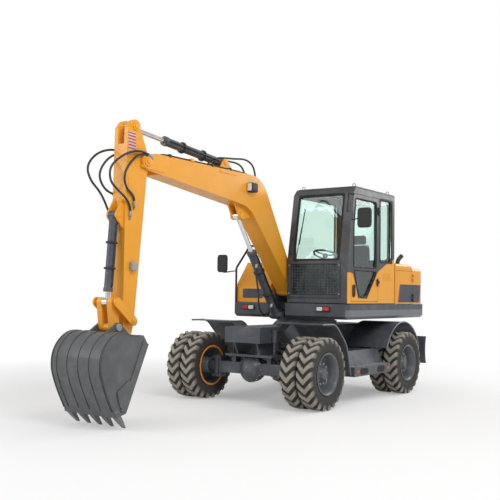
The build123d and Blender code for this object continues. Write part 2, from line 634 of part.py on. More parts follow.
# Rear blade: dished plate on two arms, with the ears of its cylinder between them
with BuildPart() as blade:
    middle_z = (BLADE_BOTTOM + BLADE_TOP) / 2
    with BuildSketch(side(BLADE_HALF)):
        with BuildLine():
            ThreePointArc((BLADE_FACE_X, BLADE_BOTTOM), (BLADE_FACE_X + BLADE_DISH, middle_z), (BLADE_FACE_X, BLADE_TOP))
            Line((BLADE_FACE_X, BLADE_TOP), (BLADE_FACE_X + BLADE_WALL, BLADE_TOP))
            ThreePointArc((BLADE_FACE_X + BLADE_WALL, BLADE_TOP), (BLADE_FACE_X + BLADE_DISH + BLADE_WALL, middle_z),
                          (BLADE_FACE_X + BLADE_WALL, BLADE_BOTTOM))
            Line((BLADE_FACE_X + BLADE_WALL, BLADE_BOTTOM), (BLADE_FACE_X, BLADE_BOTTOM))
        make_face()
    extrude(amount=2 * BLADE_HALF)
    back_x = BLADE_FACE_X + BLADE_DISH + BLADE_WALL
    for hand in (-1, 1):
        middle = hand * BLADE_ARM_Y
        low, high = middle - BLADE_ARM_WALL / 2, middle + BLADE_ARM_WALL / 2
        hull_plate([(BLADE_PIVOT[0], BLADE_PIVOT[1], BLADE_BOSS), (back_x + 60, 560, 80)], low, high)
        block(back_x - 10, back_x + 60, low, high, 500, 760)
        ear = hand * (30 + SIDE_GAP + 8)
        hull_plate([(BLADE_CYL_EYE[0], BLADE_CYL_EYE[1], 42), (back_x + 80, 520, 50)], ear - 8, ear + 8)
    block(back_x - 6, back_x + 100, -BLADE_ARM_Y, BLADE_ARM_Y, 480, 600)
    for hand in (-1, 1):
        low, high = sorted((hand * (BLADE_ARM_Y - BLADE_ARM_WALL / 2), hand * (BLADE_ARM_Y + BLADE_ARM_WALL / 2)))
        bar_y(BLADE_PIVOT[0], BLADE_PIVOT[1], BLADE_PIN_RADIUS + PIN_GAP, low, high, Mode.SUBTRACT)
save(blade.part, "blade")

# Blade bracket: ears under the chassis for the arms, and at its rear for the cylinder
with BuildPart() as blade_bracket:
    block(CHASSIS_REAR_X - 40, CHASSIS_REAR_X - SEAT_GAP, -CHASSIS_HALF, CHASSIS_HALF, CHASSIS_BOTTOM - 20, CHASSIS_TOP)
    block(CHASSIS_REAR_X - 40, BLADE_PIVOT[0] + 50, -CHASSIS_HALF, CHASSIS_HALF, CHASSIS_BOTTOM - 20,
          CHASSIS_BOTTOM - SEAT_GAP)
    for hand in (-1, 1):
        for spread in (-1, 1):
            middle = hand * BLADE_ARM_Y + spread * (BLADE_ARM_WALL / 2 + SIDE_GAP + 8)
            hull_plate([(BLADE_PIVOT[0], BLADE_PIVOT[1], 46), (BLADE_PIVOT[0] + 10, CHASSIS_BOTTOM - 41, 40),
                        (BLADE_PIVOT[0] - 60, CHASSIS_BOTTOM - 41, 40)], middle - 8, middle + 8)
        bar_y(BLADE_PIVOT[0], BLADE_PIVOT[1], BLADE_PIN_RADIUS, hand * BLADE_ARM_Y - 60, hand * BLADE_ARM_Y + 60)
        ear = hand * (42 + SIDE_GAP + 8)
        hull_plate([(BLADE_CYL_FOOT[0], BLADE_CYL_FOOT[1], 42), (CHASSIS_REAR_X - 22, BLADE_CYL_FOOT[1] - 70, 19),
                    (CHASSIS_REAR_X - 22, BLADE_CYL_FOOT[1] + 40, 19)], ear - 8, ear + 8)
    bar_y(BLADE_CYL_FOOT[0], BLADE_CYL_FOOT[1], BLADE_PIN_RADIUS, -70, 70)
save(blade_bracket.part, "blade_bracket")

# Upper deck: plate with rounded corners, open at the front for the boom foot
with BuildPart() as deck:
    with BuildSketch(Plane.XY.offset(DECK_BOTTOM)):
        with BuildLine():
            Polyline((DECK_FRONT_X, -DECK_HALF), (DECK_FRONT_X, DECK_HALF), (DECK_REAR_X, DECK_HALF),
                     (DECK_REAR_X, -DECK_HALF), close=True)
        make_face()
    extrude(amount=DECK_TOP - DECK_BOTTOM)
    fillet(deck.edges().filter_by(Axis.Z), DECK_CORNER)
    chamfer(deck.faces().sort_by(Axis.Z)[0].edges(), 40)
    block(DECK_FRONT_X - 420, DECK_FRONT_X + 1, BOOM_Y - NOTCH_HALF, BOOM_Y + NOTCH_HALF, DECK_BOTTOM, DECK_TOP,
          Mode.SUBTRACT)
    for hand in (-1, 1):
        middle = BOOM_Y + hand * (BOOM_HALF + SIDE_GAP + EAR_WALL / 2)
        low, high = middle - EAR_WALL / 2, middle + EAR_WALL / 2
        hull_plate([(BOOM_FOOT[0], BOOM_FOOT[1], FOOT_BOSS), (BOOM_FOOT[0] + 60, DECK_TOP - 60, 130),
                    (BOOM_FOOT[0] - 300, DECK_TOP - 60, 60)], low, high)
        ear = BOOM_Y + hand * (66 + SIDE_GAP + 12)
        hull_plate([(BOOM_CYL_FOOT[0], BOOM_CYL_FOOT[1], 48), (DECK_FRONT_X - 340, DECK_BOTTOM + 90, 40)],
                   ear - 12, ear + 12)
    block(DECK_FRONT_X - 430, DECK_FRONT_X - 330, BOOM_Y - NOTCH_HALF - 1, BOOM_Y + NOTCH_HALF + 1, DECK_BOTTOM,
          DECK_TOP)
    bar_y(BOOM_FOOT[0], BOOM_FOOT[1], PIN_RADIUS, BOOM_Y - BOOM_HALF - SIDE_GAP - EAR_WALL,
          BOOM_Y + BOOM_HALF + SIDE_GAP + EAR_WALL)
    bar_y(BOOM_CYL_FOOT[0], BOOM_CYL_FOOT[1], PIN_RADIUS, BOOM_Y - 106, BOOM_Y + 106)
save(deck.part, "deck")

# Slew ring's inner race under the deck
with BuildPart() as slew_race:
    with BuildSketch(Plane.XY.offset(TURRET_TOP + SIDE_GAP)):
        with Locations((SWING_X, 0)):
            Circle(RING_RADIUS - RING_WALL - PIN_GAP)
            Circle(RING_RADIUS - 2 * RING_WALL, mode=Mode.SUBTRACT)
    extrude(amount=DECK_BOTTOM - TURRET_TOP - SIDE_GAP)
save(slew_race.part, "slew_race")

# Counterweight with a rounded tail
with BuildPart() as counterweight:
    with BuildSketch(Plane.XY.offset(DECK_TOP + SEAT_GAP)):
        with BuildLine():
            Polyline((WEIGHT_FRONT_X, -DECK_HALF), (WEIGHT_FRONT_X, DECK_HALF), (TAIL_X, DECK_HALF),
                     (TAIL_X, -DECK_HALF), close=True)
        make_face()
    extrude(amount=BODY_TOP - 60 - DECK_TOP)
    fillet(counterweight.edges().filter_by(Axis.Z).group_by(Axis.X)[0], 260)
    fillet(counterweight.faces().sort_by(Axis.Z)[-1].edges(), 60)
    for hand in (-1, 1):
        for z in SIDE_DOOR_HINGES_Z:
            hinge_z(SIDE_AXIS_X, hand * SIDE_AXIS_Y, hand * (DECK_HALF - 1), z, -HINGE_LEAF, True)
save(counterweight.part, "counterweight")

# Engine, one plain block across the rear
with BuildPart() as engine:
    block(WEIGHT_FRONT_X + 60, WEIGHT_FRONT_X + 520, -420, 420, DECK_TOP + SEAT_GAP, DECK_TOP + 480)
save(engine.part, "engine")

# Engine hood: shallow lid over the engine bay
with BuildPart() as engine_hood:
    block(WEIGHT_FRONT_X + SIDE_GAP, HOOD_FRONT_X, -DECK_HALF + 20, DECK_HALF - 20, HOOD_BOTTOM, BODY_TOP)
    fillet(engine_hood.faces().sort_by(Axis.Z)[-1].edges(), 50)
    block(WEIGHT_FRONT_X + 40, HOOD_FRONT_X - 30, -DECK_HALF + 50, DECK_HALF - 50, HOOD_BOTTOM, BODY_TOP - 30,
          Mode.SUBTRACT)
    for y in HOOD_HINGES_Y:
        hinge_y(HOOD_AXIS_X, HOOD_AXIS_Z, BODY_TOP - 40, y, -HINGE_LEAF, False)
save(engine_hood.part, "engine_hood")

# Side doors of the engine bay
for label, hand in (("side_door_left", 1), ("side_door_right", -1)):
    with BuildPart() as side_door:
        low, high = sorted((hand * (DECK_HALF - 36), hand * DECK_HALF))
        block(WEIGHT_FRONT_X + SIDE_GAP, SIDE_DOOR_FRONT_X - SIDE_GAP, low, high, DECK_TOP + SIDE_GAP,
              HOOD_BOTTOM - SIDE_GAP)
        for z in SIDE_DOOR_HINGES_Z:
            hinge_z(SIDE_AXIS_X, hand * SIDE_AXIS_Y, hand * (DECK_HALF - 1), z, HINGE_LEAF, False)
    save(side_door.part, label)

# Bulkhead between the cab, the tanks and the engine bay
with BuildPart() as bulkhead:
    block(SIDE_DOOR_FRONT_X, HOOD_FRONT_X + 30, -DECK_HALF, DECK_HALF, DECK_TOP + SEAT_GAP, HOOD_BOTTOM - SIDE_GAP)
    block(HOOD_FRONT_X + SIDE_GAP, HOOD_FRONT_X + 30, -DECK_HALF, DECK_HALF, HOOD_BOTTOM - 2 * SIDE_GAP, BODY_TOP)
    for y in HOOD_HINGES_Y:
        hinge_y(HOOD_AXIS_X, HOOD_AXIS_Z, BODY_TOP - 1, y, HOOD_FRONT_X + 30 - HOOD_AXIS_X, True)
save(bulkhead.part, "bulkhead")

# Right bonnet over the tanks, with a sloped front
with BuildPart() as right_bonnet:
    profile_plate([(BONNET_FRONT_X, DECK_TOP + SEAT_GAP), (BONNET_FRONT_X, 1640), (BONNET_FRONT_X - 330, BODY_TOP - 20),
                   (HOOD_FRONT_X + 30 + SIDE_GAP, BODY_TOP - 20), (HOOD_FRONT_X + 30 + SIDE_GAP, DECK_TOP + SEAT_GAP)],
                  -DECK_HALF, BONNET_INNER_Y)
save(right_bonnet.part, "right_bonnet")

# Cab shell: floor, pillars, roof and rear wall with the window openings cut
CAB_OUTLINE = [
    (CAB_FRONT_X, CAB_FLOOR), (CAB_FRONT_X, 2080), (CAB_FRONT_X - 160, CAB_TOP - 90), (CAB_FRONT_X - 240, CAB_TOP),
    (CAB_REAR_X, CAB_TOP), (CAB_REAR_X, CAB_FLOOR),
]
with BuildPart() as cab_shell:
    profile_plate(CAB_OUTLINE, CAB_RIGHT, CAB_LEFT)
    with BuildSketch(side(CAB_LEFT - CAB_WALL)):
        with BuildLine():
            Polyline(*CAB_OUTLINE, close=True)
        make_face()
        offset(amount=-CAB_WALL, mode=Mode.REPLACE)
    extrude(amount=CAB_LEFT - CAB_RIGHT - 2 * CAB_WALL, mode=Mode.SUBTRACT)
    block(DOOR_REAR_X - SIDE_GAP, DOOR_FRONT_X + SIDE_GAP, CAB_LEFT - 2 * CAB_WALL, CAB_LEFT + 1,
          DOOR_BOTTOM - SIDE_GAP, DOOR_TOP + SIDE_GAP, Mode.SUBTRACT)
    block(CAB_REAR_X + 90, DOOR_REAR_X - 60, CAB_LEFT - 2 * CAB_WALL, CAB_LEFT + 1, SILL_Z, WINDOW_TOP, Mode.SUBTRACT)
    block(CAB_REAR_X + 110, DOOR_FRONT_X - 60, CAB_RIGHT - 1, CAB_RIGHT + 2 * CAB_WALL, SILL_Z, WINDOW_TOP,
          Mode.SUBTRACT)
    block(CAB_REAR_X - 1, CAB_REAR_X + 2 * CAB_WALL, CAB_RIGHT + 110, CAB_LEFT - 110, SILL_Z + 40, WINDOW_TOP,
          Mode.SUBTRACT)
    block(CAB_FRONT_X - 400, CAB_FRONT_X + 1, CAB_RIGHT + 110, CAB_LEFT - 150, SILL_Z, WINDOW_TOP, Mode.SUBTRACT)
    block(CAB_FRONT_X - 2 * CAB_WALL, CAB_FRONT_X + 1, CAB_RIGHT + 110, CAB_LEFT - 150, 1530, 2010, Mode.SUBTRACT)
    block(HATCH_REAR_X, HATCH_FRONT_X, CAB_RIGHT + 250, CAB_LEFT - 250, CAB_TOP - 2 * CAB_WALL, CAB_TOP + 1,
          Mode.SUBTRACT)
    for x in (CAB_FRONT_X - 160, CAB_REAR_X + 160):
        for y in (CAB_RIGHT + 160, CAB_LEFT - 160):
            bar_z(x, y, 50, DECK_TOP + SEAT_GAP, CAB_FLOOR + 1)
    for z in DOOR_HINGES_Z:
        hinge_z(DOOR_AXIS_X, DOOR_AXIS_Y, CAB_LEFT - 1, z, -HINGE_LEAF, True)
    for y in HATCH_HINGES_Y:
        hinge_y(HATCH_AXIS_X, HATCH_AXIS_Z, CAB_TOP - 1, y, -HINGE_LEAF, True)
save(cab_shell.part, "cab_shell")

# Cab roof hatch
with BuildPart() as roof_hatch:
    block(HATCH_REAR_X + SIDE_GAP, HATCH_FRONT_X - SIDE_GAP, CAB_RIGHT + 250 + SIDE_GAP, CAB_LEFT - 250 - SIDE_GAP,
          CAB_TOP - 26, CAB_TOP + 24)
    for y in HATCH_HINGES_Y:
        hinge_y(HATCH_AXIS_X, HATCH_AXIS_Z, CAB_TOP + 2, y, 40, False)
save(roof_hatch.part, "roof_hatch")

# Cab glass that stays with the shell
with BuildPart() as cab_glass:
    block(CAB_REAR_X + 90 + SEAT_GAP, DOOR_REAR_X - 60 - SEAT_GAP, CAB_LEFT - 30, CAB_LEFT - 30 + GLASS_WALL,
          SILL_Z + SEAT_GAP, WINDOW_TOP - SEAT_GAP)
    block(CAB_REAR_X + 110 + SEAT_GAP, DOOR_FRONT_X - 60 - SEAT_GAP, CAB_RIGHT + 22, CAB_RIGHT + 22 + GLASS_WALL,
          SILL_Z + SEAT_GAP, WINDOW_TOP - SEAT_GAP)
    block(CAB_REAR_X + 22, CAB_REAR_X + 22 + GLASS_WALL, CAB_RIGHT + 110 + SEAT_GAP, CAB_LEFT - 110 - SEAT_GAP,
          SILL_Z + 40 + SEAT_GAP, WINDOW_TOP - SEAT_GAP)
    profile_plate([(CAB_FRONT_X - 22, SILL_Z + SEAT_GAP), (CAB_FRONT_X - 22, 2080), (CAB_FRONT_X - 175, WINDOW_TOP - 1),
                   (CAB_FRONT_X - 184, WINDOW_TOP - 1), (CAB_FRONT_X - 31, 2080), (CAB_FRONT_X - 31, SILL_Z + SEAT_GAP)],
                  CAB_RIGHT + 110 + SEAT_GAP, CAB_LEFT - 150 - SEAT_GAP)
    block(CAB_FRONT_X - 31, CAB_FRONT_X - 22, CAB_RIGHT + 110 + SEAT_GAP, CAB_LEFT - 150 - SEAT_GAP, 1530.3, 2009.7)
save(cab_glass.part, "cab_glass")

# Cab door, hinged on its rear edge, with its window cut
with BuildPart() as cab_door:
    block(DOOR_REAR_X, DOOR_FRONT_X, CAB_LEFT - CAB_WALL, CAB_LEFT, DOOR_BOTTOM, DOOR_TOP)
    block(DOOR_REAR_X + 60, DOOR_FRONT_X - 60, CAB_LEFT - CAB_WALL, CAB_LEFT, 1900, DOOR_TOP - 60, Mode.SUBTRACT)
    for z in DOOR_HINGES_Z:
        hinge_z(DOOR_AXIS_X, DOOR_AXIS_Y, CAB_LEFT - 1, z, HINGE_LEAF, False)
save(cab_door.part, "cab_door")
with BuildPart() as door_glass:
    block(DOOR_REAR_X + 60 + SEAT_GAP, DOOR_FRONT_X - 60 - SEAT_GAP, CAB_LEFT - 30, CAB_LEFT - 30 + GLASS_WALL,
          1900 + SEAT_GAP, DOOR_TOP - 60 - SEAT_GAP)
save(door_glass.part, "door_glass")

# Driver's seat on its base
with BuildPart() as seat:
    block(-1850, -1420, SEAT_Y - 200, SEAT_Y + 200, CAB_FLOOR + CAB_WALL + SEAT_GAP, 1800)
    block(-1860, -1350, SEAT_Y - 250, SEAT_Y + 250, 1800, 1920)
    block(-1960, -1840, SEAT_Y - 240, SEAT_Y + 240, 1800, 2520)
save(seat.part, "seat")

# Steering column and wheel
with BuildPart() as steering_column:
    block(-900, -780, SEAT_Y - 60, SEAT_Y + 60, CAB_FLOOR + CAB_WALL + SEAT_GAP, 2120)
    with BuildSketch(Plane.XY.offset(2120)):
        with Locations((-900, SEAT_Y)):
            Circle(190)
            Circle(165, mode=Mode.SUBTRACT)
            Rectangle(40, 350)
            Circle(40)
    extrude(amount=24)
save(steering_column.part, "steering_column")

# Control consoles with their levers
with BuildPart() as consoles:
    for hand in (-1, 1):
        low, high = sorted((SEAT_Y + hand * 262, SEAT_Y + hand * 350))
        block(-1750, -1300, low, high, CAB_FLOOR + CAB_WALL + SEAT_GAP, 1980)
        with BuildSketch(Plane.XY.offset(1980)):
            with Locations((-1380, (low + high) / 2)):
                Circle(16)
        extrude(amount=160)
save(consoles.part, "consoles")

# Guard over the cab's lower front window
with BuildPart() as front_guard:
    block(CAB_FRONT_X + SEAT_GAP, CAB_FRONT_X + 22, GUARD_RIGHT, GUARD_LEFT, GUARD_BOTTOM, GUARD_TOP)
    block(CAB_FRONT_X, CAB_FRONT_X + 22, GUARD_RIGHT + 40, GUARD_LEFT - 40, GUARD_BOTTOM + 40, GUARD_TOP - 40,
          Mode.SUBTRACT)
    for step in range(1, GUARD_BARS):
        y = GUARD_RIGHT + (GUARD_LEFT - GUARD_RIGHT) * step / GUARD_BARS
        block(CAB_FRONT_X + 6, CAB_FRONT_X + 16, y - 4, y + 4, GUARD_BOTTOM + 30, GUARD_TOP - 30)
save(front_guard.part, "front_guard")

# Handrail at the right front, up from the deck and back onto the bonnet
RAIL_X = DECK_FRONT_X - 50
RAIL_RADIUS = 16
with BuildPart() as handrail:
    with BuildLine() as rail_path:
        FilletPolyline(
            (RAIL_X, -1000, DECK_TOP + SEAT_GAP),
            (RAIL_X, -1000, 1950),
            (RAIL_X, -740, 2300),
            (RAIL_X - 400, -740, 2300),
            (RAIL_X - 400, -740, BODY_TOP - 20 + SEAT_GAP),
            radius=60,
        )
    with BuildSketch(Plane.XY.offset(DECK_TOP + SEAT_GAP)):
        with Locations((RAIL_X, -1000)):
            Circle(RAIL_RADIUS)
    sweep(path=rail_path.line)
save(handrail.part, "handrail")

# Mirrors on their arms
with BuildPart() as mirrors:
    block(RAIL_X - 18, RAIL_X + 18, -1380, -1180, 1880, 2170)
    block(RAIL_X - 8, RAIL_X + 8, -1190, -1000 - RAIL_RADIUS - SEAT_GAP, 1900, 1916)
    block(-765, -725, 1110, 1350, 2520, 2820)
    block(-752, -738, CAB_LEFT + SEAT_GAP, 1120, 2640, 2660)
save(mirrors.part, "mirrors")

# Lamps on the deck's front edge
with BuildPart() as deck_lamps:
    for low, high in ((-830, -595), (520, 745)):
        block(DECK_FRONT_X + SEAT_GAP, DECK_FRONT_X + 20, low, high, 1300, 1372)
save(deck_lamps.part, "deck_lamps")

# Exhaust stack on the hood's left rear
with BuildPart() as exhaust:
    with BuildSketch(Plane.XY.offset(BODY_TOP - 60 + SEAT_GAP)):
        with Locations((WEIGHT_FRONT_X - 120, 700)):
            Circle(36)
            Circle(32, mode=Mode.SUBTRACT)
    extrude(amount=200)
save(exhaust.part, "exhaust")

# Boom: box section, bent at the knee, forked at the tip
BOOM_EDGE = [(-985, 1640), (11, 3250), (2300, 3250), (2480, 3215), (2560, 3060), (2455, 3030), (849, 2847),
             (314, 2784), (-850, 1560)]
with BuildPart() as boom:
    with BuildSketch(side(BOOM_Y + BOOM_HALF)) as boom_side:
        with BuildLine():
            Polyline(*BOOM_EDGE, close=True)
        make_face()
        knees = [v for v in boom_side.vertices() if abs(v.X - 11) < 1 or abs(v.X - 314) < 1]
        fillet(knees, 480)
        with Locations(BOOM_FOOT):
            Circle(FOOT_BOSS)
        with Locations(BOOM_TIP):
            Circle(TIP_BOSS)
    extrude(amount=2 * BOOM_HALF)
    block(BOOM_TIP[0] - 240, BOOM_TIP[0] + 200, BOOM_Y - BOOM_SLOT_HALF, BOOM_Y + BOOM_SLOT_HALF, 2900, 3400,
          Mode.SUBTRACT)
    bar_y(BOOM_TIP[0], BOOM_TIP[1], PIN_RADIUS, BOOM_Y - BOOM_HALF - 16, BOOM_Y + BOOM_HALF + 16)
    bar_y(BOOM_FOOT[0], BOOM_FOOT[1], PIN_RADIUS + PIN_GAP, BOOM_Y - BOOM_HALF, BOOM_Y + BOOM_HALF, Mode.SUBTRACT)
    eye_relief = BOOM_EYE_RADIUS + SIDE_GAP
    hull_plate([(BOOM_CYL_EYE[0], BOOM_CYL_EYE[1], eye_relief),
                (BOOM_CYL_EYE[0] + BOOM_EYE_DRIFT[0], BOOM_CYL_EYE[1] + BOOM_EYE_DRIFT[1], eye_relief)],
               BOOM_Y - BOOM_EYE_HALF - SIDE_GAP, BOOM_Y + BOOM_EYE_HALF + SIDE_GAP, Mode.SUBTRACT)
    for hand in (-1, 1):
        ear = BOOM_Y + hand * (BOOM_EYE_HALF + SIDE_GAP + 12)
        hull_plate([(BOOM_CYL_EYE[0], BOOM_CYL_EYE[1], 56), (BOOM_CYL_EYE[0] - 180, 2700, 60),
                    (BOOM_CYL_EYE[0] + 120, 2870, 60)], ear - 12, ear + 12)
        low, high = sorted((ear + hand * 12, ear + hand * 34))
        bar_y(BOOM_CYL_EYE[0], BOOM_CYL_EYE[1], 46, low, high)
        ear = BOOM_Y + hand * (56 + SIDE_GAP + 12)
        hull_plate([(ARM_CYL_FOOT[0], ARM_CYL_FOOT[1], 54), (ARM_CYL_FOOT[0] - 120, 3230, 60),
                    (ARM_CYL_FOOT[0] + 80, 3230, 60)], ear - 12, ear + 12)
    bar_y(ARM_CYL_FOOT[0], ARM_CYL_FOOT[1], PIN_RADIUS, BOOM_Y - 96, BOOM_Y + 96)
save(boom.part, "boom")

# Work lamp on the boom's left side
with BuildPart() as boom_lamp:
    block(230, 400, BOOM_Y + BOOM_HALF + SEAT_GAP, BOOM_Y + BOOM_HALF + 90, 2990, 3130)
save(boom_lamp.part, "boom_lamp")

# Arm: box section with bosses at its four pins, open at the top for the rod eye
with BuildPart() as arm:
    with BuildSketch(side(BOOM_Y + ARM_HALF)):
        with BuildLine():
            Polyline((2440, 2950), (2400, 3130), (2470, 3312), (2600, 3590), (2720, 3590), (2785, 3500), (2800, 2500),
                     (2794, 1350), (2784, 960), (2676, 930), (2610, 1180), close=True)
        make_face()
        for (x, z), radius in ((BOOM_TIP, 84), (ARM_CYL_EYE, 84), (BUCKET_HINGE, 62)):
            with Locations((x, z)):
                Circle(radius)
    extrude(amount=2 * ARM_HALF)
    block(ARM_CYL_EYE[0] - 260, ARM_CYL_EYE[0] + 200, BOOM_Y - 50, BOOM_Y + 50, ARM_CYL_EYE[1] - 220,
          ARM_CYL_EYE[1] + 200, Mode.SUBTRACT)
    bar_y(BOOM_TIP[0], BOOM_TIP[1], PIN_RADIUS + PIN_GAP, BOOM_Y - ARM_HALF, BOOM_Y + ARM_HALF, Mode.SUBTRACT)
    bar_y(BUCKET_HINGE[0], BUCKET_HINGE[1], 62, BOOM_Y - BUCKET_EAR_INNER + 5, BOOM_Y + BUCKET_EAR_INNER - 5)
    bar_y(BUCKET_HINGE[0], BUCKET_HINGE[1], PIN_RADIUS + PIN_GAP, BOOM_Y - BUCKET_EAR_INNER,
          BOOM_Y + BUCKET_EAR_INNER, Mode.SUBTRACT)
    bar_y(ROCKER_PIN[0], ROCKER_PIN[1], PIN_RADIUS, BOOM_Y - ROCKER_OUTER - 10, BOOM_Y + ROCKER_OUTER + 10)
    for hand in (-1, 1):
        ear = BOOM_Y + hand * (50 + SIDE_GAP + 12)
        hull_plate([(BUCKET_CYL_FOOT[0], BUCKET_CYL_FOOT[1], 48), (2780, 2600, 50), (2780, 2340, 50)],
                   ear - 12, ear + 12)
    bar_y(BUCKET_CYL_FOOT[0], BUCKET_CYL_FOOT[1], PIN_RADIUS, BOOM_Y - 88, BOOM_Y + 88)
save(arm.part, "arm")

# Rocker plates outside the arm, from its lower pin to the rod eye
with BuildPart() as rocker:
    for hand in (-1, 1):
        low, high = sorted((BOOM_Y + hand * ROCKER_INNER, BOOM_Y + hand * ROCKER_OUTER))
        hull_plate([(ROCKER_PIN[0], ROCKER_PIN[1], 56), (LINK_PIN[0], LINK_PIN[1], 56)], low, high)
        bar_y(ROCKER_PIN[0], ROCKER_PIN[1], PIN_RADIUS + PIN_GAP, low, high, Mode.SUBTRACT)
save(rocker.part, "rocker")

# Bucket link: forked at the rod eye, one boss at the bucket
with BuildPart() as bucket_link:
    for hand in (-1, 1):
        low, high = sorted((BOOM_Y + hand * (38 + SIDE_GAP), BOOM_Y + hand * (BUCKET_EAR_INNER - 5)))
        hull_plate([(LINK_PIN[0], LINK_PIN[1], 54), (BUCKET_PIN[0], BUCKET_PIN[1], 52)], low, high)
    bar_y(BUCKET_PIN[0], BUCKET_PIN[1], 52, BOOM_Y - BUCKET_EAR_INNER + 5, BOOM_Y + BUCKET_EAR_INNER - 5)
    bar_y(BUCKET_PIN[0], BUCKET_PIN[1], PIN_RADIUS + PIN_GAP, BOOM_Y - BUCKET_EAR_INNER, BOOM_Y + BUCKET_EAR_INNER,
          Mode.SUBTRACT)
save(bucket_link.part, "bucket_link")

# Bucket: curved back, side plates, ears with their pins, lip and teeth
BUCKET_TOP = [(2753, 1048), (2960, 1054), (3070, 1092), (3290, 1010), (3420, 830)]
with BuildPart() as bucket:
    profile_plate([(3025, 195), (2682, 946)] + BUCKET_TOP + [(3418, 650), (3170, 140)],
                  BOOM_Y - BUCKET_HALF, BOOM_Y + BUCKET_HALF)
    profile_plate([(3040, 150), (2560, 900), (2600, 1200), (2840, 1200), (2840, 1034), (2955, 1036), (3070, 1074),
                   (3280, 995), (3402, 826), (3400, 652), (3158, 158)],
                  BOOM_Y - BUCKET_HALF + BUCKET_WALL, BOOM_Y + BUCKET_HALF - BUCKET_WALL, Mode.SUBTRACT)
    for step in range(TOOTH_COUNT):
        y = BOOM_Y - TOOTH_SPAN + 2 * TOOTH_SPAN * step / (TOOTH_COUNT - 1)
        profile_plate([(3175, 150), (3190, 190), (3120, 190), (2994, 24), (3008, 12)], y - TOOTH_HALF, y + TOOTH_HALF)
    for hand in (-1, 1):
        low, high = sorted((BOOM_Y + hand * BUCKET_EAR_INNER, BOOM_Y + hand * BUCKET_EAR_OUTER))
        hull_plate([(BUCKET_HINGE[0], BUCKET_HINGE[1], 62), (BUCKET_PIN[0], BUCKET_PIN[1], 56), (3020, 1060, 36)],
                   low, high)
    bar_y(BUCKET_HINGE[0], BUCKET_HINGE[1], PIN_RADIUS, BOOM_Y - BUCKET_EAR_OUTER, BOOM_Y + BUCKET_EAR_OUTER)
    bar_y(BUCKET_PIN[0], BUCKET_PIN[1], PIN_RADIUS, BOOM_Y - BUCKET_EAR_OUTER, BOOM_Y + BUCKET_EAR_OUTER)
save(bucket.part, "bucket")

for row in CYLINDERS:
    cylinder_barrel(*row)
    cylinder_rod(*row)
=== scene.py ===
import math

import bmesh
import bpy
import numpy as np
from mathutils import Matrix, Vector
from mathutils.geometry import convex_hull_2d, tessellate_polygon

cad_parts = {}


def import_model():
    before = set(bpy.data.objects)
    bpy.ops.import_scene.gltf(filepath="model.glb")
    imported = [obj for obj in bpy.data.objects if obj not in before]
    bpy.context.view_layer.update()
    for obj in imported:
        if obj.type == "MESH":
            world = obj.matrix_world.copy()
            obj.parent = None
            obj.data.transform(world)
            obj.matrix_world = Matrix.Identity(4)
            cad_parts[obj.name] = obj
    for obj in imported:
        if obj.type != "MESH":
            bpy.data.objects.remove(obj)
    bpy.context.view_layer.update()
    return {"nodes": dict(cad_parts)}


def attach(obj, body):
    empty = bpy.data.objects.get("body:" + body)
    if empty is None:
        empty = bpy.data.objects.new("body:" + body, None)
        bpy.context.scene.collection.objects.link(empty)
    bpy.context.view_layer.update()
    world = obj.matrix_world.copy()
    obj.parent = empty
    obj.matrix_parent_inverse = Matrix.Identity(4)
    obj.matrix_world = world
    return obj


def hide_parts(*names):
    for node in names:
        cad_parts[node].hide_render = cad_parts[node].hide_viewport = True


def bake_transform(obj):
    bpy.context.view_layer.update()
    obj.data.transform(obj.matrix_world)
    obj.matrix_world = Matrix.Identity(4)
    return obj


# Looks of a wheeled excavator with twin tyres, in metres: X forward, Y left, Z up, floor at Z = 0
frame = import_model()

# Wheels
AXLE_X = {"front": 0.230, "rear": -2.320}
AXLE_Z = 0.487
TYRE_Y = (1.110, 0.854)
TYRE_RADIUS = 0.487
TYRE_HALF = 0.116
LUG_COUNT = 22
LUG_DEPTH = 0.026
SIDE_DUST = 0.07
BEAD_RADIUS = 0.268

# Working arm, in side view as (X, Z)
BOOM_Y = -0.190
BOOM_HALF = 0.138
ARM_HALF = 0.106

# Cab: its front face leans back above the sill
CAB_FRONT_X = -0.642
CAB_LEAN = 0.160
LEAN_LOW = 2.080
LEAN_HIGH = 3.060
CAB_LEFT = 1.025
DOOR_INNER_Y = 0.979
PANE_Y = (0.996, 1.003)
VENT_Y = 1.0255
CAB_RIGHT = -0.012
CAB_REAR_X = -2.195
CAB_TOP = 3.150

# Camera, fitted to the photograph
CAMERA_AT = (9.598, 6.565, 1.548)
CAMERA_YAW = 3.7596
CAMERA_PITCH = 0.0543
CAMERA_ROLL = 0.0156
CAMERA_LENS = 57.6


# Surfaces

def grid_faces(rows, columns, wrap_rows, wrap_columns, start=0):
    """Corner indices of a grid's quads: each joins (i, j), (i + 1, j), (i + 1, j + 1) and (i, j + 1)."""
    i = np.arange(rows if wrap_rows else rows - 1)
    j = np.arange(columns if wrap_columns else columns - 1)
    i, j = np.meshgrid(i, j, indexing="ij")
    here, there, on = i * columns, (i + 1) % rows * columns, (j + 1) % columns
    return np.stack([here + j, there + j, there + on, here + on], -1).reshape(-1, 4) + start


def unit(vector):
    """Vectors scaled to a length of 1."""
    vector = np.asarray(vector, float)
    return vector / np.linalg.norm(vector, axis=-1, keepdims=True)


def circle(count):
    """Cosines and sines of angles evenly round a turn."""
    angle = np.linspace(0, 2 * np.pi, count, endpoint=False)
    return np.stack([np.cos(angle), np.sin(angle)], -1)


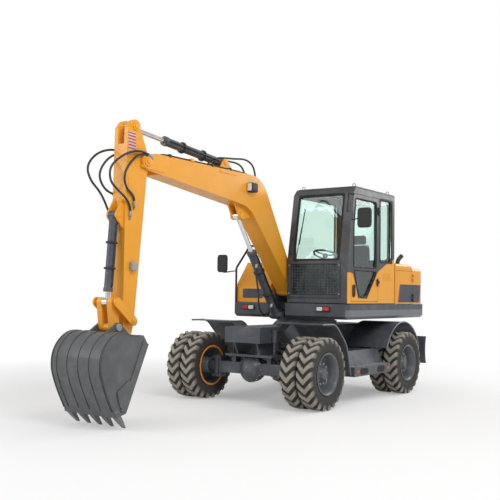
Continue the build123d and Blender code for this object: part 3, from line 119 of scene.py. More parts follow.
def solid(name, points, faces, merge=True, smooth=True):
    """Mesh object from points and faces, with its doubles merged and its faces turned outwards."""
    mesh = bpy.data.meshes.new(name)
    mesh.from_pydata(points.tolist(), [], faces)
    shell = bmesh.new()
    shell.from_mesh(mesh)
    if merge:
        bmesh.ops.remove_doubles(shell, verts=shell.verts, dist=1e-6)
    bmesh.ops.recalc_face_normals(shell, faces=shell.faces)
    shell.to_mesh(mesh)
    shell.free()
    mesh.polygons.foreach_set("use_smooth", np.full(len(mesh.polygons), smooth))
    piece = bpy.data.objects.new(name, mesh)
    bpy.context.scene.collection.objects.link(piece)
    return piece


def several(name, grids, smooth=True):
    """One mesh object from several grids, each a tuple (points, wrap_rows, wrap_columns)."""
    all_points, all_quads, start = [], [], 0
    for points, wrap_rows, wrap_columns in grids:
        rows, columns = points.shape[:2]
        all_points.append(points.reshape(-1, 3))
        all_quads += grid_faces(rows, columns, wrap_rows, wrap_columns, start).tolist()
        start += rows * columns
    return solid(name, np.concatenate(all_points), all_quads, smooth=smooth)


def turned(profile, steps, centre, axis=(0, 1, 0), closed=False):
    """Surface of revolution: each (radius r, reach t) of the profile, turned by angle a, gives
    centre + t axis + r (cos a * first + sin a * second), with first and second square to the axis."""
    profile = np.asarray(profile, float)
    axis = unit(axis)
    first = unit(np.cross(axis, (0, 0, 1) if abs(axis[2]) < 0.9 else (1, 0, 0)))
    ring = circle(steps) @ np.stack([first, np.cross(axis, first)])
    points = profile[None, :, 0, None] * ring[:, None, :] + profile[None, :, 1, None] * axis
    return points + centre, True, closed


def hoop(radius, wire, count, steps, centre, axis):
    """Ring of round wire: a circle of the wire's radius, turned about the axis."""
    return turned((radius, 0) + wire * circle(count), steps, centre, axis, closed=True)


def lozenge(centre, half, power=0.35, count=20):
    """Rounded box: with c(w) = sign(cos w) |cos w|^power and s(w) alike for the sine, a point is
    centre + (hx c(v) c(u), hy s(v) c(u), hz s(u))."""
    u = np.linspace(-np.pi / 2, np.pi / 2, count)[:, None]
    v = np.linspace(0, 2 * np.pi, 2 * count, endpoint=False)[None, :]
    cu, su, cv, sv = (np.sign(w) * np.abs(w) ** power for w in (np.cos(u), np.sin(u), np.cos(v), np.sin(v)))
    points = np.stack(np.broadcast_arrays(half[0] * cv * cu, half[1] * sv * cu, half[2] * su), -1)
    return points + centre, False, True


def bolt(centre, axis, radius, height):
    """Hexagon head: a six-sided turned profile, cut back at its rim, on a flat base."""
    profile = [(0, 0), (radius, 0), (radius, 0.75 * height), (0.86 * radius, height), (0, height)]
    return turned(profile, 6, centre, axis)


def nut_ring(centre, axis, ring, count, radius, height):
    """Bolt heads evenly round a circle of radius ring about the axis."""
    spots = turned([(ring, 0)], count, centre, axis)[0][:, 0]
    return [bolt(spot, axis, radius, height) for spot in spots]


def rounded(corners, per_corner=7):
    """Closed outline through corners (a, b, radius): straight runs joined at each corner by the curve
    corner + reach ((1 - t)^2 back + t^2 on), where reach is the radius's tangent length."""
    spots = np.array([corner[:2] for corner in corners], float)
    t = np.linspace(0, 1, per_corner)[:, None]
    outline = []
    for i, corner in enumerate(corners):
        back, on = unit(spots[i - 1] - spots[i]), unit(spots[(i + 1) % len(spots)] - spots[i])
        turn = math.pi - math.acos(float(np.clip(back @ on, -1, 1)))
        reach = corner[2] * math.tan(turn / 2)
        outline.append(spots[i] + reach * ((1 - t) ** 2 * back + t ** 2 * on))
    return np.concatenate(outline)


def rings_along(path, along, radius, up, sides):
    """Circles about a path: point = path + radius (cos a * side + sin a * lift), with side and lift square to
    the path's direction."""
    along = unit(along)
    side = unit(np.cross(along, up))
    ring = circle(sides) @ np.stack([side, np.cross(side, along)], 1)
    return path[:, None, :] + np.reshape(radius, (-1, 1, 1)) * ring


def capped(rings, ends):
    """Rings with a ring before and after them that lies in one point of each end."""
    first, last = (np.broadcast_to(end, rings[:1].shape) for end in ends)
    return np.concatenate([first, rings, last])


def seal(path, radius, up):
    """Round cord about a closed path."""
    path = np.asarray(path, float)
    return rings_along(path, np.roll(path, -1, 0) - np.roll(path, 1, 0), radius, up, 8), True, True


def hull(circles, count=32):
    """Outline that wraps circles (a, b, radius): the convex hull of points round each of them."""
    points = np.concatenate([(a, b) + radius * circle(count) for a, b, radius in circles])
    return points[convex_hull_2d([Vector(point) for point in points])]


def at_side(a, b, reach):
    """Side view: a along X, b along Z, reach along Y."""
    return np.stack([a, reach, b], -1)


def at_front(a, b, reach):
    """Front view: a along Y, b along Z, reach along X."""
    return np.stack([reach, a, b], -1)


def at_top(a, b, reach):
    """Top view: a along X, b along Y, reach along Z."""
    return np.stack([a, b, reach], -1)


def at_screen(a, b, reach):
    """On the cab's front: a along Y, b along Z, reach out of the face, which leans back with Z."""
    share = np.clip((b - LEAN_LOW) / (LEAN_HIGH - LEAN_LOW), 0, 1)
    return np.stack([CAB_FRONT_X - CAB_LEAN * share + reach, a, b], -1)


def flat(outline, place, reach):
    """An outline's points in space, on a plane and at one reach."""
    return place(outline[:, 0], outline[:, 1], np.full(len(outline), reach))


def plate(outline, near, far, place=at_side, holes=()):
    """Plate with cut-outs: the outline and its holes at reach near and again at reach far, each face closed
    by triangles, and a wall of quads round every edge."""
    loops = [np.asarray(loop, float) for loop in [outline, *holes]]
    edges = np.concatenate(loops)
    count = len(edges)
    faces = np.array(tessellate_polygon([[Vector((a, b, 0)) for a, b in loop] for loop in loops]))
    points = np.concatenate([flat(edges, place, reach) for reach in (near, far)])
    walls, start = [], 0
    for loop in loops:
        i = start + np.arange(len(loop))
        j = start + (np.arange(len(loop)) + 1) % len(loop)
        walls.append(np.stack([i, j, j + count, i + count], -1))
        start += len(loop)
    return points, np.concatenate([faces, faces[:, ::-1] + count]), np.concatenate(walls)


def box_outline(a_low, a_high, b_low, b_high, radius):
    """Rectangle with rounded corners."""
    corners = [(a_low, b_low), (a_high, b_low), (a_high, b_high), (a_low, b_high)]
    return rounded([(a, b, radius) for a, b in corners])


def spline(points, count):
    """Centripetal curve through the points: cubic pieces, sampled evenly in their parameter."""
    p = np.asarray(points, float)
    knots = np.concatenate([[0], np.cumsum(np.linalg.norm(np.diff(p, axis=0), axis=1) ** 0.5)])
    slope = np.gradient(p, knots, axis=0)
    t = np.linspace(0, knots[-1], count)
    k = np.clip(np.searchsorted(knots, t, side="right") - 1, 0, len(p) - 2)
    h = (knots[k + 1] - knots[k])[:, None]
    s = ((t - knots[k])[:, None]) / h
    return ((2 * s ** 3 - 3 * s ** 2 + 1) * p[k] + (s ** 3 - 2 * s ** 2 + s) * h * slope[k]
            + (3 * s ** 2 - 2 * s ** 3) * p[k + 1] + (s ** 3 - s ** 2) * h * slope[k + 1])


def tube_grid(path, radius, sides=12, up=(0.13, 0.31, 0.94)):
    """Round tube about a path, closed on the path's ends."""
    path = np.asarray(path, float)
    return capped(rings_along(path, np.gradient(path, axis=0), radius, up, sides), path[[0, -1]]), False, True


def nurbs(points):
    """Smooth line of a route: the NURBS spline that has the route's points as its control points."""
    curve = bpy.data.curves.new("route", "CURVE")
    curve.dimensions = "3D"
    line = curve.splines.new("NURBS")
    line.points.add(len(points) - 1)
    line.points.foreach_set("co", np.c_[np.asarray(points, float), np.ones(len(points))].ravel())
    line.order_u = 3
    line.use_endpoint_u = True
    line.resolution_u = 12
    thing = bpy.data.objects.new("route", curve)
    mesh = bpy.data.meshes.new_from_object(thing)
    path = np.empty(3 * len(mesh.vertices), np.float32)
    mesh.vertices.foreach_get("co", path)
    bpy.data.meshes.remove(mesh)
    bpy.data.objects.remove(thing)
    bpy.data.curves.remove(curve)
    return path.reshape(-1, 3).astype(float)


def dress(piece, material, body, instead=()):
    """Give a piece its material and its CAD body, in place of CAD nodes, which it hides."""
    piece.data.materials.append(material)
    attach(piece, body)
    if instead:
        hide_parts(*instead)
    return piece


def fitted(name, grids, material, body="upper", instead=(), smooth=True):
    """Piece from grids, on a CAD body."""
    return dress(several(name, grids, smooth), material, body, instead)


def plated(name, plates, material, body="upper", instead=()):
    """Piece from plates, on a CAD body."""
    points, faces, start = [], [], 0
    for spots, triangles, quads in plates:
        points.append(spots)
        faces += (triangles + start).tolist() + (quads + start).tolist()
        start += len(spots)
    return dress(solid(name, np.concatenate(points), faces, False, False), material, body, instead)


# Materials

def feed(tree, node, inputs):
    """Give a node's inputs their values: sockets are linked, and colours get an alpha of 1."""
    for key, value in inputs.items():
        if isinstance(value, bpy.types.NodeSocket):
            tree.links.new(value, node.inputs[key])
        elif isinstance(value, tuple):
            node.inputs[key].default_value = (*value, 1)
        else:
            node.inputs[key].default_value = value


def add(tree, kind, inputs, **settings):
    """New shader node of a kind, with its settings and its inputs."""
    node = tree.nodes.new(f"ShaderNode{kind}")
    for setting, value in settings.items():
        setattr(node, setting, value)
    feed(tree, node, inputs)
    return node


def shader(name, colour, rough, metal=0.0, **more):
    """Material with one Principled shader, and its node tree to add to."""
    material = bpy.data.materials.new(name)
    material.use_nodes = True
    tree = material.node_tree
    surface = tree.nodes["Principled BSDF"]
    feed(tree, surface, {"Base Color": colour, "Roughness": rough, "Metallic": metal, **more})
    return material, tree, surface


def spot(tree):
    """Object coordinates, which are the model's own frame."""
    return tree.nodes.new("ShaderNodeTexCoord").outputs["Object"]


def noise(tree, scale, detail=4.0, roughness=0.6):
    """Noise on Object coordinates."""
    inputs = {"Vector": spot(tree), "Scale": scale, "Detail": detail, "Roughness": roughness}
    return add(tree, "TexNoise", inputs).outputs["Fac"]


def spread(tree, factor, low, high, from_low=0.0, from_high=1.0):
    """A factor carried from one range to another, clamped."""
    inputs = {"Value": factor, "From Min": from_low, "From Max": from_high, "To Min": low, "To Max": high}
    return add(tree, "MapRange", inputs).outputs["Result"]


def mixed(tree, factor, a, b):
    """Two colours mixed by a factor; each is a colour or a socket."""
    return add(tree, "Mix", {0: factor, 6: a, 7: b}, data_type="RGBA").outputs[2]


def bump(tree, surface, height, strength, distance, edge=0.0):
    """Bump from a height factor, in metres, over edges rounded by a radius."""
    inputs = {"Strength": strength, "Distance": distance, "Height": height}
    if edge:
        inputs["Normal"] = add(tree, "Bevel", {"Radius": edge}, samples=4).outputs["Normal"]
    feed(tree, surface, {"Normal": add(tree, "Bump", inputs).outputs["Normal"]})


def vary(tree, surface, scale, detail, *ranges):
    """Roughness that drifts with a noise between two values."""
    feed(tree, surface, {"Roughness": spread(tree, noise(tree, scale, detail), *ranges)})


def enamel(name, colour, shade, rough, dust=0.0, dust_colour=(0.42, 0.39, 0.34)):
    """Sprayed paint: a slow drift between two tones, fine orange peel, and dust that gathers in patches."""
    material, tree, surface = shader(name, colour, rough, **{"Coat Weight": 0.22, "Coat Roughness": 0.12})
    tone = mixed(tree, spread(tree, noise(tree, 1.7, 3), 0, 1, 0.35, 0.65), colour, shade)
    patches = spread(tree, noise(tree, 5.0, 8, 0.68), 0, dust, 0.46, 0.78)
    feed(tree, surface, {"Base Color": mixed(tree, patches, tone, dust_colour)})
    vary(tree, surface, 9.0, 5, rough, rough + 0.16, 0.4, 0.7)
    bump(tree, surface, noise(tree, 140.0, 2), 0.05, 0.002, 0.004)
    return material


def maths(tree, operation, *values):
    """Result of a math node on numbers and sockets."""
    return add(tree, "Math", dict(enumerate(values)), operation=operation).outputs[0]


def split(tree):
    """X, Y and Z of the point, in the model's frame."""
    return add(tree, "SeparateXYZ", {0: spot(tree)}).outputs


def both(tree, a, b):
    """1 where both factors are 1."""
    return maths(tree, "MULTIPLY", a, b)


def between(tree, value, low, high):
    """1 where the value lies between low and high, else 0."""
    return both(tree, maths(tree, "GREATER_THAN", value, low), maths(tree, "LESS_THAN", value, high))


def past(tree, value, limit):
    """1 where the value's size is over a limit."""
    return maths(tree, "GREATER_THAN", maths(tree, "ABSOLUTE", value), limit)


def overpaint(material, masks):
    """Lay flat paint colours over a material's own: masks are functions of the tree with their colours."""
    tree = material.node_tree
    surface = tree.nodes["Principled BSDF"]
    colour = surface.inputs["Base Color"].links[0].from_socket
    for mask, paint in masks:
        colour = mixed(tree, mask(tree), colour, paint)
    feed(tree, surface, {"Base Color": colour})
    return material


SUN = (0.83, 0.355, 0.016)
SUN_DEEP = (0.79, 0.325, 0.014)
CAB_PAINT = ((0.050, 0.055, 0.066), (0.042, 0.047, 0.058), 0.36, 0.10)
YELLOW = enamel("yellow_enamel", SUN, SUN_DEEP, 0.30, 0.05)
DARK = enamel("graphite_enamel", (0.060, 0.069, 0.086), (0.048, 0.055, 0.070), 0.42, 0.20)
CAB_DARK = enamel("cab_enamel", *CAB_PAINT)
BUCKET = enamel("bucket_enamel", (0.072, 0.076, 0.082), (0.098, 0.100, 0.104), 0.46, 0.30, (0.25, 0.24, 0.22))
WHEEL = enamel("wheel_enamel", (0.090, 0.100, 0.115), (0.075, 0.083, 0.096), 0.40, 0.25)


# The yellow's border on the cab's left side, as (X, Z): under the windows and round the door's foot pane
YELLOW_LINE = [(-2.209, 2.131), (-2.001, 2.072), (-1.823, 2.002), (-1.683, 1.943), (-1.600, 1.900),
               (-1.555, 1.845), (-1.250, 1.495), (-0.965, 1.500), (-0.800, 1.860), (-0.750, 1.875),
               (-0.620, 1.875)]
YELLOW_FACE_Y = 1.015


def under_line(tree):
    """1 on the cab's left face below the border, which a float curve of X draws."""
    x, y, z = split(tree)[:3]
    low_x, high_x, low_z, high_z = -2.30, -0.60, 1.40, 2.20
    curve = tree.nodes.new("ShaderNodeFloatCurve")
    line = curve.mapping.curves[0]
    spots = [((a - low_x) / (high_x - low_x), (b - low_z) / (high_z - low_z)) for a, b in YELLOW_LINE]
    line.points[0].location = (0, spots[0][1])
    line.points[1].location = (1, spots[-1][1])
    for place in spots:
        line.points.new(*place)
    for point in line.points:
        point.handle_type = "VECTOR"
    curve.mapping.update()
    feed(tree, curve, {"Value": spread(tree, x, 0, 1, low_x, high_x)})
    border = spread(tree, curve.outputs["Value"], low_z, high_z)
    return both(tree, maths(tree, "LESS_THAN", z, border), maths(tree, "GREATER_THAN", y, YELLOW_FACE_Y))


def banner(low, high):
    """Slanted band on the tail's sides: X plus slant times the height over the deck is from low to high."""
    slant, foot, field, side = 0.24, 1.432, (1.440, 1.735), 1.02

    def mask(tree):
        x, y, z = split(tree)[:3]
        across = maths(tree, "ADD", x, maths(tree, "MULTIPLY", maths(tree, "SUBTRACT", z, foot), slant))
        area = both(tree, between(tree, z, *field), past(tree, y, side))
        return both(tree, between(tree, across, low, high), area)
    return mask


def deck_side(tree):
    """1 on the deck's long sides, below its top."""
    top, side = 1.325, 0.99
    y, z = split(tree)[1:3]
    return both(tree, maths(tree, "LESS_THAN", z, top), past(tree, y, side))


STRIPE_RED = (0.55, 0.02, 0.015)
CAB_SKIN = overpaint(enamel("cab_two_tone", *CAB_PAINT), [(under_line, SUN)])
TAIL = overpaint(enamel("tail_enamel", SUN, SUN_DEEP, 0.30, 0.05),
                 [(banner(-3.24, -2.345), (0.045, 0.048, 0.056)), (banner(-2.345, -2.318), STRIPE_RED),
                  (banner(-3.17, -3.14), STRIPE_RED), (banner(-3.21, -3.185), (0.62, 0.62, 0.60))])
DECK = overpaint(enamel("deck_enamel", (0.062, 0.070, 0.086), (0.050, 0.057, 0.070), 0.42, 0.15),
                 [(deck_side, (0.155, 0.165, 0.185))])


def one_colour(name, colour, drift, grain=(), **more):
    """Material of one colour. Its roughness drifts by (scale, detail, low, high, from low, from high), and a
    grain of (scale, strength, distance, edge) bumps it."""
    material, tree, surface = shader(name, colour, drift[2], **more)
    vary(tree, surface, *drift)
    if grain:
        bump(tree, surface, noise(tree, grain[0], 2), *grain[1:])
    return material


def rubber():
    """Tyre rubber: the lugs' tops carry pale dust by the worn attribute, the grooves stay dark."""
    groove, dust = (0.020, 0.019, 0.018), (0.37, 0.335, 0.28)
    material, tree, surface = shader("tyre_rubber", groove, 0.86)
    worn = add(tree, "Attribute", {}, attribute_name="worn").outputs["Fac"]
    amount = both(tree, worn, spread(tree, noise(tree, 26.0, 8, 0.7), 0.55, 1.0, 0.3, 0.62))
    feed(tree, surface, {"Base Color": mixed(tree, amount, groove, dust)})
    bump(tree, surface, noise(tree, 90.0, 6), 0.25, 0.003)
    return material


def plastic(name, colour, rough=0.5):
    """Moulded plastic with fine grain."""
    return one_colour(name, colour, (12.0, 4, rough, rough + 0.12, 0.4, 0.7), (420.0, 0.20, 0.0006, 0.002))


def cloth(name, colour):
    """Woven seat cloth: bands of a wave on Object coordinates, under a slow drift of tone."""
    material, tree, surface = shader(name, colour, 0.9, **{"Sheen Weight": 0.3})
    weave = add(tree, "TexWave", {"Vector": spot(tree), "Scale": 220.0, "Distortion": 0.6})
    tone = mixed(tree, noise(tree, 24.0, 4), colour, tuple(c * 1.6 for c in colour))
    feed(tree, surface, {"Base Color": tone})
    bump(tree, surface, weave.outputs["Fac"], 0.3, 0.0008)
    return material


CHROME = one_colour("polished_rod", (0.80, 0.80, 0.82), (14.0, 3, 0.08, 0.24, 0.35, 0.7), metal=1.0)
STEEL = one_colour("bare_steel", (0.40, 0.40, 0.41), (30.0, 6, 0.30, 0.60, 0.3, 0.7), (220.0, 0.10, 0.001),
                   metal=0.9)
RUBBER = rubber()
HOSE = plastic("hose_rubber", (0.022, 0.023, 0.026), 0.45)
BLACK = plastic("black_plastic", (0.020, 0.021, 0.023), 0.5)
GLASS = one_colour("tinted_glass", (0.78, 0.93, 0.88), (3.0, 6, 0.0, 0.06, 0.45, 0.8),
                   **{"Transmission Weight": 1.0, "IOR": 1.45})
CLOTH = cloth("seat_cloth", (0.045, 0.047, 0.055))
RED_LENS = plastic("red_lens", (0.55, 0.03, 0.015), 0.2)
WHITE_LENS = plastic("white_lens", (0.75, 0.76, 0.74), 0.2)
ORANGE = enamel("orange_enamel", (0.80, 0.27, 0.02), (0.74, 0.24, 0.02), 0.4, 0.15)
PALE = enamel("pale_enamel", (0.52, 0.53, 0.54), (0.46, 0.47, 0.48), 0.4, 0.2)
SILVER = enamel("silver_enamel", (0.34, 0.35, 0.37), (0.28, 0.29, 0.31), 0.35, 0.1)
RUBBER_SEAL = plastic("seal_rubber", (0.012, 0.012, 0.013), 0.6)
SIGN_RED = enamel("sign_red", (0.58, 0.03, 0.02), (0.52, 0.025, 0.02), 0.4, 0.1)
STEEL_DARK = enamel("worn_steel", (0.11, 0.11, 0.115), (0.17, 0.168, 0.165), 0.38, 0.3, (0.30, 0.29, 0.27))
# Pale grey for the fenders' lips: a painted highlight on their curved edges, not their paint's own colour
PAINTED_HIGHLIGHT_GREY = enamel("painted_highlight_enamel", (0.15, 0.16, 0.18), (0.12, 0.13, 0.15), 0.4, 0.2)

# CAD nodes by material; the rest are graphite
NODE_FINISH = {
    YELLOW: "boom arm rocker bucket_link engine_hood right_bonnet",
    TAIL: "counterweight side_door_left side_door_right bulkhead",
    CAB_SKIN: "cab_shell cab_door",
    CAB_DARK: "front_guard",
    PALE: "roof_hatch",
    BUCKET: "bucket",
    STEEL: "slew_race engine",
    CHROME: "steering_rod blade_cylinder_rod boom_cylinder_rod arm_cylinder_rod bucket_cylinder_rod",
    GLASS: "cab_glass door_glass",
    BLACK: "steering_column consoles mirrors boom_lamp deck_lamps handrail",
    CLOTH: "seat",
    DECK: "deck",
}
FINISH_OF = {name: finish for finish, names in NODE_FINISH.items() for name in names.split()}
for name, node in frame["nodes"].items():
    finish = FINISH_OF.get(name, DARK)
    if name.endswith("_rims"):
        finish = WHEEL
    if name.endswith("_tyres"):
        finish = RUBBER
    node.data.materials.clear()
    node.data.materials.append(finish)


# Tyres

def tyre_grid(centre):
    """Tyre about Y: its points from bead to bead at stations round it, one pitch per lug, and their dust. The
    radius is the casing's, plus the lug's depth where the lug's mask is 1. The stations lean forward with the
    distance from the tread's middle, so that the lugs' edges follow a V."""
    half, top, bead = TYRE_HALF, TYRE_RADIUS - LUG_DEPTH, BEAD_RADIUS
    # columns: reach across, radius of the casing, share of the lug's depth, lean in pitches
    side = [(0.070, bead - 0.002, 0, 1), (0.086, bead, 0, 1), (0.094, bead + 0.012, 0, 1),
            (0.090, bead + 0.022, 0, 1), (0.100, bead + 0.030, 0, 1), (0.110, 0.330, 0, 1),
            (half - 0.001, 0.360, 0, 1), (half, 0.385, 0, 1), (half - 0.001, 0.400, 0.10, 0.98),
            (half - 0.004, 0.424, 0.55, 0.96), (half - 0.010, 0.446, 0.90, 0.92),
            (0.098, top - 0.002, 1, 0.84), (0.080, top, 1, 0.70), (0.060, top, 1, 0.52),
            (0.040, top, 1, 0.34), (0.020, top, 1, 0.16), (0.006, top, 1, 0.03)]
    across = np.array(side + [(-y, r, m, lean) for y, r, m, lean in side[::-1]])
    # columns: place in the pitch, mask
    pitch = np.array([(0.00, 0), (0.12, 0), (0.20, 1), (0.42, 1), (0.66, 1), (0.74, 0)])
    place = (np.arange(LUG_COUNT)[:, None] + pitch[None, :, 0]).ravel()
    mask = np.tile(pitch[:, 1], LUG_COUNT)
    step = 2 * np.pi / LUG_COUNT
    angle = step * (place[:, None] + 0.85 * across[None, :, 3])
    lift = mask[:, None] * across[None, :, 2]
    radius = across[None, :, 1] + LUG_DEPTH * lift - 0.002 * (across[None, :, 0] / half) ** 2 * lift
    y = np.broadcast_to(across[:, 0], radius.shape)
    points = np.stack([radius * np.cos(angle), y, radius * np.sin(angle)], -1) + centre
    return points, np.maximum(lift, SIDE_DUST)


def tyres(end, side, hand):
    """Both tyres of a twin wheel, one mesh."""
    name = f"wheel_{end}_{side}_tyres"
    points, quads, worn, start = [], [], [], 0
    for y in TYRE_Y:
        grid, dust = tyre_grid((AXLE_X[end], hand * y, AXLE_Z))
        quads += grid_faces(*dust.shape, True, True, start)[:, ::-1].tolist()
        points.append(grid.reshape(-1, 3))
        worn.append(dust.ravel())
        start += dust.size
    piece = solid(f"dressed_{name}", np.concatenate(points), quads, smooth=False)
    attribute = piece.data.attributes.new("worn", "FLOAT", "POINT")
    attribute.data.foreach_set("value", np.concatenate(worn).astype(np.float32))
    dress(piece, RUBBER, f"wheel_{end}_{side}", [name])


# Rims, as (radius, reach from the tyre's middle towards the outside)
OUTER_RIM = [(0, 0.056), (0.066, 0.056), (0.074, 0.048), (0.078, 0.012), (0.112, 0.006), (0.118, -0.008),
             (0.152, -0.008), (0.174, -0.014), (0.196, -0.032), (0.222, -0.040), (0.228, -0.020),
             (0.232, 0.030), (0.246, 0.052), (0.252, 0.084), (0.266, 0.104), (0.282, 0.109), (0.289, 0.104),
             (0.284, 0.097), (0.264, 0.090), (0.262, 0.0), (0.262, -0.090), (0.266, -0.098),
             (0.250, -0.098), (0.246, -0.060), (0.118, -0.056), (0.118, -0.150), (0, -0.150)]
INNER_RIM = [(0, 0.104), (0.240, 0.104), (0.262, 0.092), (0.262, -0.090), (0.284, -0.097), (0.289, -0.104),
             (0.282, -0.108), (0.264, -0.104), (0.250, -0.086), (0.246, 0.070), (0.238, 0.076),
             (0.118, 0.076), (0.112, -0.080), (0.100, -0.093), (0.0612, -0.093), (0.0612, 0.027),
             (0, 0.027)]
RIM_RING = [(0.262, -0.106), (0.268, -0.112), (0.292, -0.114), (0.294, -0.108), (0.290, -0.104)]


def rims(end, side, hand):
    """Both rims of a twin wheel with hub, cap and nuts: profiles turned about the axle."""
    name = f"wheel_{end}_{side}"
    x, axis = AXLE_X[end], (0, hand, 0)
    grids = [turned(OUTER_RIM, 64, (x, hand * TYRE_Y[0], AXLE_Z), axis),
             turned(INNER_RIM, 64, (x, hand * TYRE_Y[1], AXLE_Z), axis)]
    fitted(f"{name}_turned_rims", grids, WHEEL, name, instead=[f"{name}_rims"])
    nuts = nut_ring((x, hand * (TYRE_Y[0] - 0.009), AXLE_Z), axis, 0.136, 10, 0.015, 0.024)
    fitted(f"{name}_nuts", nuts, SILVER, name, smooth=False)
    ring = turned(RIM_RING, 64, (x, hand * TYRE_Y[1], AXLE_Z), axis, closed=True)
    fitted(f"{name}_ring", [ring], ORANGE, name)


for end in ("front", "rear"):
    for side, hand in (("left", 1), ("right", -1)):
        tyres(end, side, hand)
        rims(end, side, hand)


# Bucket

BUCKET_LOW, BUCKET_HIGH = -0.595, 0.215
BUCKET_BACK = [(2.753, 1.048), (2.870, 1.050), (2.965, 1.058), (3.075, 1.086), (3.185, 1.066),
               (3.290, 1.000), (3.370, 0.900), (3.407, 0.780), (3.402, 0.650), (3.355, 0.510),
               (3.285, 0.360), (3.212, 0.225), (3.168, 0.148)]
BUCKET_MOUTH = [(3.025, 0.195), (2.682, 0.946)]
BUCKET_THICK = 0.018
STRIP_THICK = 0.008
STRIP_Y = (-0.535, -0.365, -0.190, -0.015, 0.155)
TOOTH_Y = (-0.560, -0.375, -0.190, -0.005, 0.180)


def inward(line, amount):
    """Open line moved square to itself by an amount, to its right."""
    along = unit(np.gradient(line, axis=0))
    return line + amount * np.stack([along[:, 1], -along[:, 0]], -1)


def tapered(stations):
    """Bar of rectangular section: each station gives its centre (x, z), its half thickness across that line
    and its half width along Y. The corners run from station to station, and the ends close in a point."""
    stations = np.array(stations)
    centres, thick, wide = stations[:, :2], stations[:, 2:3], stations[:, 3]
    corners = ((1, 1), (1, -1), (-1, -1), (-1, 1))
    rings = np.stack([at_side(*inward(centres, i * thick).T, j * wide) for i, j in corners], 1)
    return capped(rings, rings[[0, -1]].mean(1))


def bucket():
    """Bucket: a bent back of even thickness between two side plates, wear strips along the back, tapered
    teeth, side cutters, a thick lip and ears with their pins."""
    low, high, thick = BUCKET_LOW, BUCKET_HIGH, BUCKET_THICK
    back = spline(BUCKET_BACK, 60)
    sides = np.concatenate([back, BUCKET_MOUTH])
    lip = [(3.180, 0.150), (3.192, 0.196), (3.030, 0.208), (3.018, 0.180)]
    cutter = [(3.020, 0.190), (2.676, 0.944), (2.760, 0.984), (3.110, 0.224)]
    cheek = hull([(3.075, 0.300, 0.055), (2.985, 0.500, 0.045), (3.140, 0.420, 0.030)])
    arm_pin, link_pin = (2.730, 0.970), (2.910, 1.130)
    ear = hull([(*arm_pin, 0.062), (*link_pin, 0.056), (3.080, 1.060, 0.024)])
    # columns: outline, near and far Y
    shell = [(np.concatenate([back, inward(back, thick)[::-1]]), low, high),
             (sides, low - 0.001, low - 0.001 + thick), (sides, high - thick + 0.001, high + 0.001),
             (lip, low - 0.004, high + 0.004),
             (cutter, low - 0.013, low - 0.001), (cheek, low - 0.017, low + 0.003),
             (cutter, high + 0.001, high + 0.013), (cheek, high - 0.003, high + 0.017),
             (ear, BOOM_Y - 0.156, BOOM_Y - 0.126), (ear, BOOM_Y + 0.126, BOOM_Y + 0.156)]
    plated("bucket_plates", [plate(*row) for row in shell], BUCKET, "bucket", instead=["bucket"])
    run = back[9:56]
    strip = np.concatenate([run, inward(run, -STRIP_THICK)[::-1]])
    plated("bucket_strips", [plate(strip, y - 0.030, y + 0.030) for y in STRIP_Y], BUCKET, "bucket")
    tooth = tapered([(3.175, 0.236, 0.030, 0.036), (3.130, 0.170, 0.032, 0.037), (3.100, 0.130, 0.027, 0.035),
                     (3.060, 0.086, 0.020, 0.030), (3.004, 0.022, 0.006, 0.024)])
    teeth = [(tooth + (0, y, 0), False, True) for y in TOOTH_Y]
    fitted("bucket_teeth", teeth, STEEL_DARK, "bucket", smooth=False)
    pin = [(0, -0.166), (0.032, -0.166), (0.032, 0.166), (0, 0.166)]
    cap = [(0, 0.156), (0.046, 0.156), (0.046, 0.168), (0.040, 0.174), (0, 0.174)]
    pins = [turned(profile, 28, (x, BOOM_Y, z), (0, hand, 0)) for x, z in (arm_pin, link_pin)
            for profile, hand in ((pin, 1), (cap, -1), (cap, 1))]
    fitted("bucket_pins", pins, SILVER, "bucket", smooth=False)
    welds = [tube_grid(np.insert(back[2:57], 1, y, axis=1), 0.006, 6, (0, 1, 0))
             for y in (low - 0.002, high + 0.002)]
    fitted("bucket_welds", welds, BUCKET, "bucket")


bucket()


# Boom and arm

def pin_cap(x, z, y, hand, radius, reach=0.014):
    """Boss with a stepped cap on a pin's end, turned about Y."""
    profile = [(0, -0.002), (radius, -0.002), (radius, reach), (0.8 * radius, reach + 0.004),
               (0.5 * radius, reach + 0.004), (0.5 * radius, reach + 0.012), (0.4 * radius, reach + 0.015),
               (0, reach + 0.015)]
    return turned(profile, 36, (x, y, z), (0, hand, 0))


BOOM_NEAR_Y, BOOM_FAR_Y = BOOM_Y + BOOM_HALF, BOOM_Y - BOOM_HALF
BOOM_TIP = (2.465, 3.130)
ARM_LUG = (0.830, 3.355)
ARM_EYE = (2.650, 3.530)
ARM_NEAR_Y = BOOM_Y + ARM_HALF


def boom_trim():
    """Doublers at the tip, the foot and the arm cylinder's lug, and caps at the tip's pin."""
    thick = 0.008
    # columns: outline, and how much thinner than the others
    outlines = [(hull([(*BOOM_TIP, 0.088), (2.130, 3.170, 0.058), (2.160, 3.070, 0.040)]), 0),
                (hull([(-0.910, 1.600, 0.080), (-0.560, 2.100, 0.060)]), 0),
                (hull([(ARM_LUG[0], 3.225, 0.030), (0.640, 3.215, 0.020), (1.010, 3.215, 0.020)]), 0.002)]
    doublers = [plate(outline, low, low + thick - less) for low in (BOOM_NEAR_Y, BOOM_FAR_Y - thick)
                for outline, less in outlines]
    plated("boom_doublers", doublers, YELLOW, "boom")
    caps = [pin_cap(*BOOM_TIP, y, hand, 0.060, 0.012)
            for hand, y in ((1, BOOM_NEAR_Y + thick), (-1, BOOM_FAR_Y - thick))]
    fitted("boom_caps", caps, YELLOW, "boom", smooth=False)


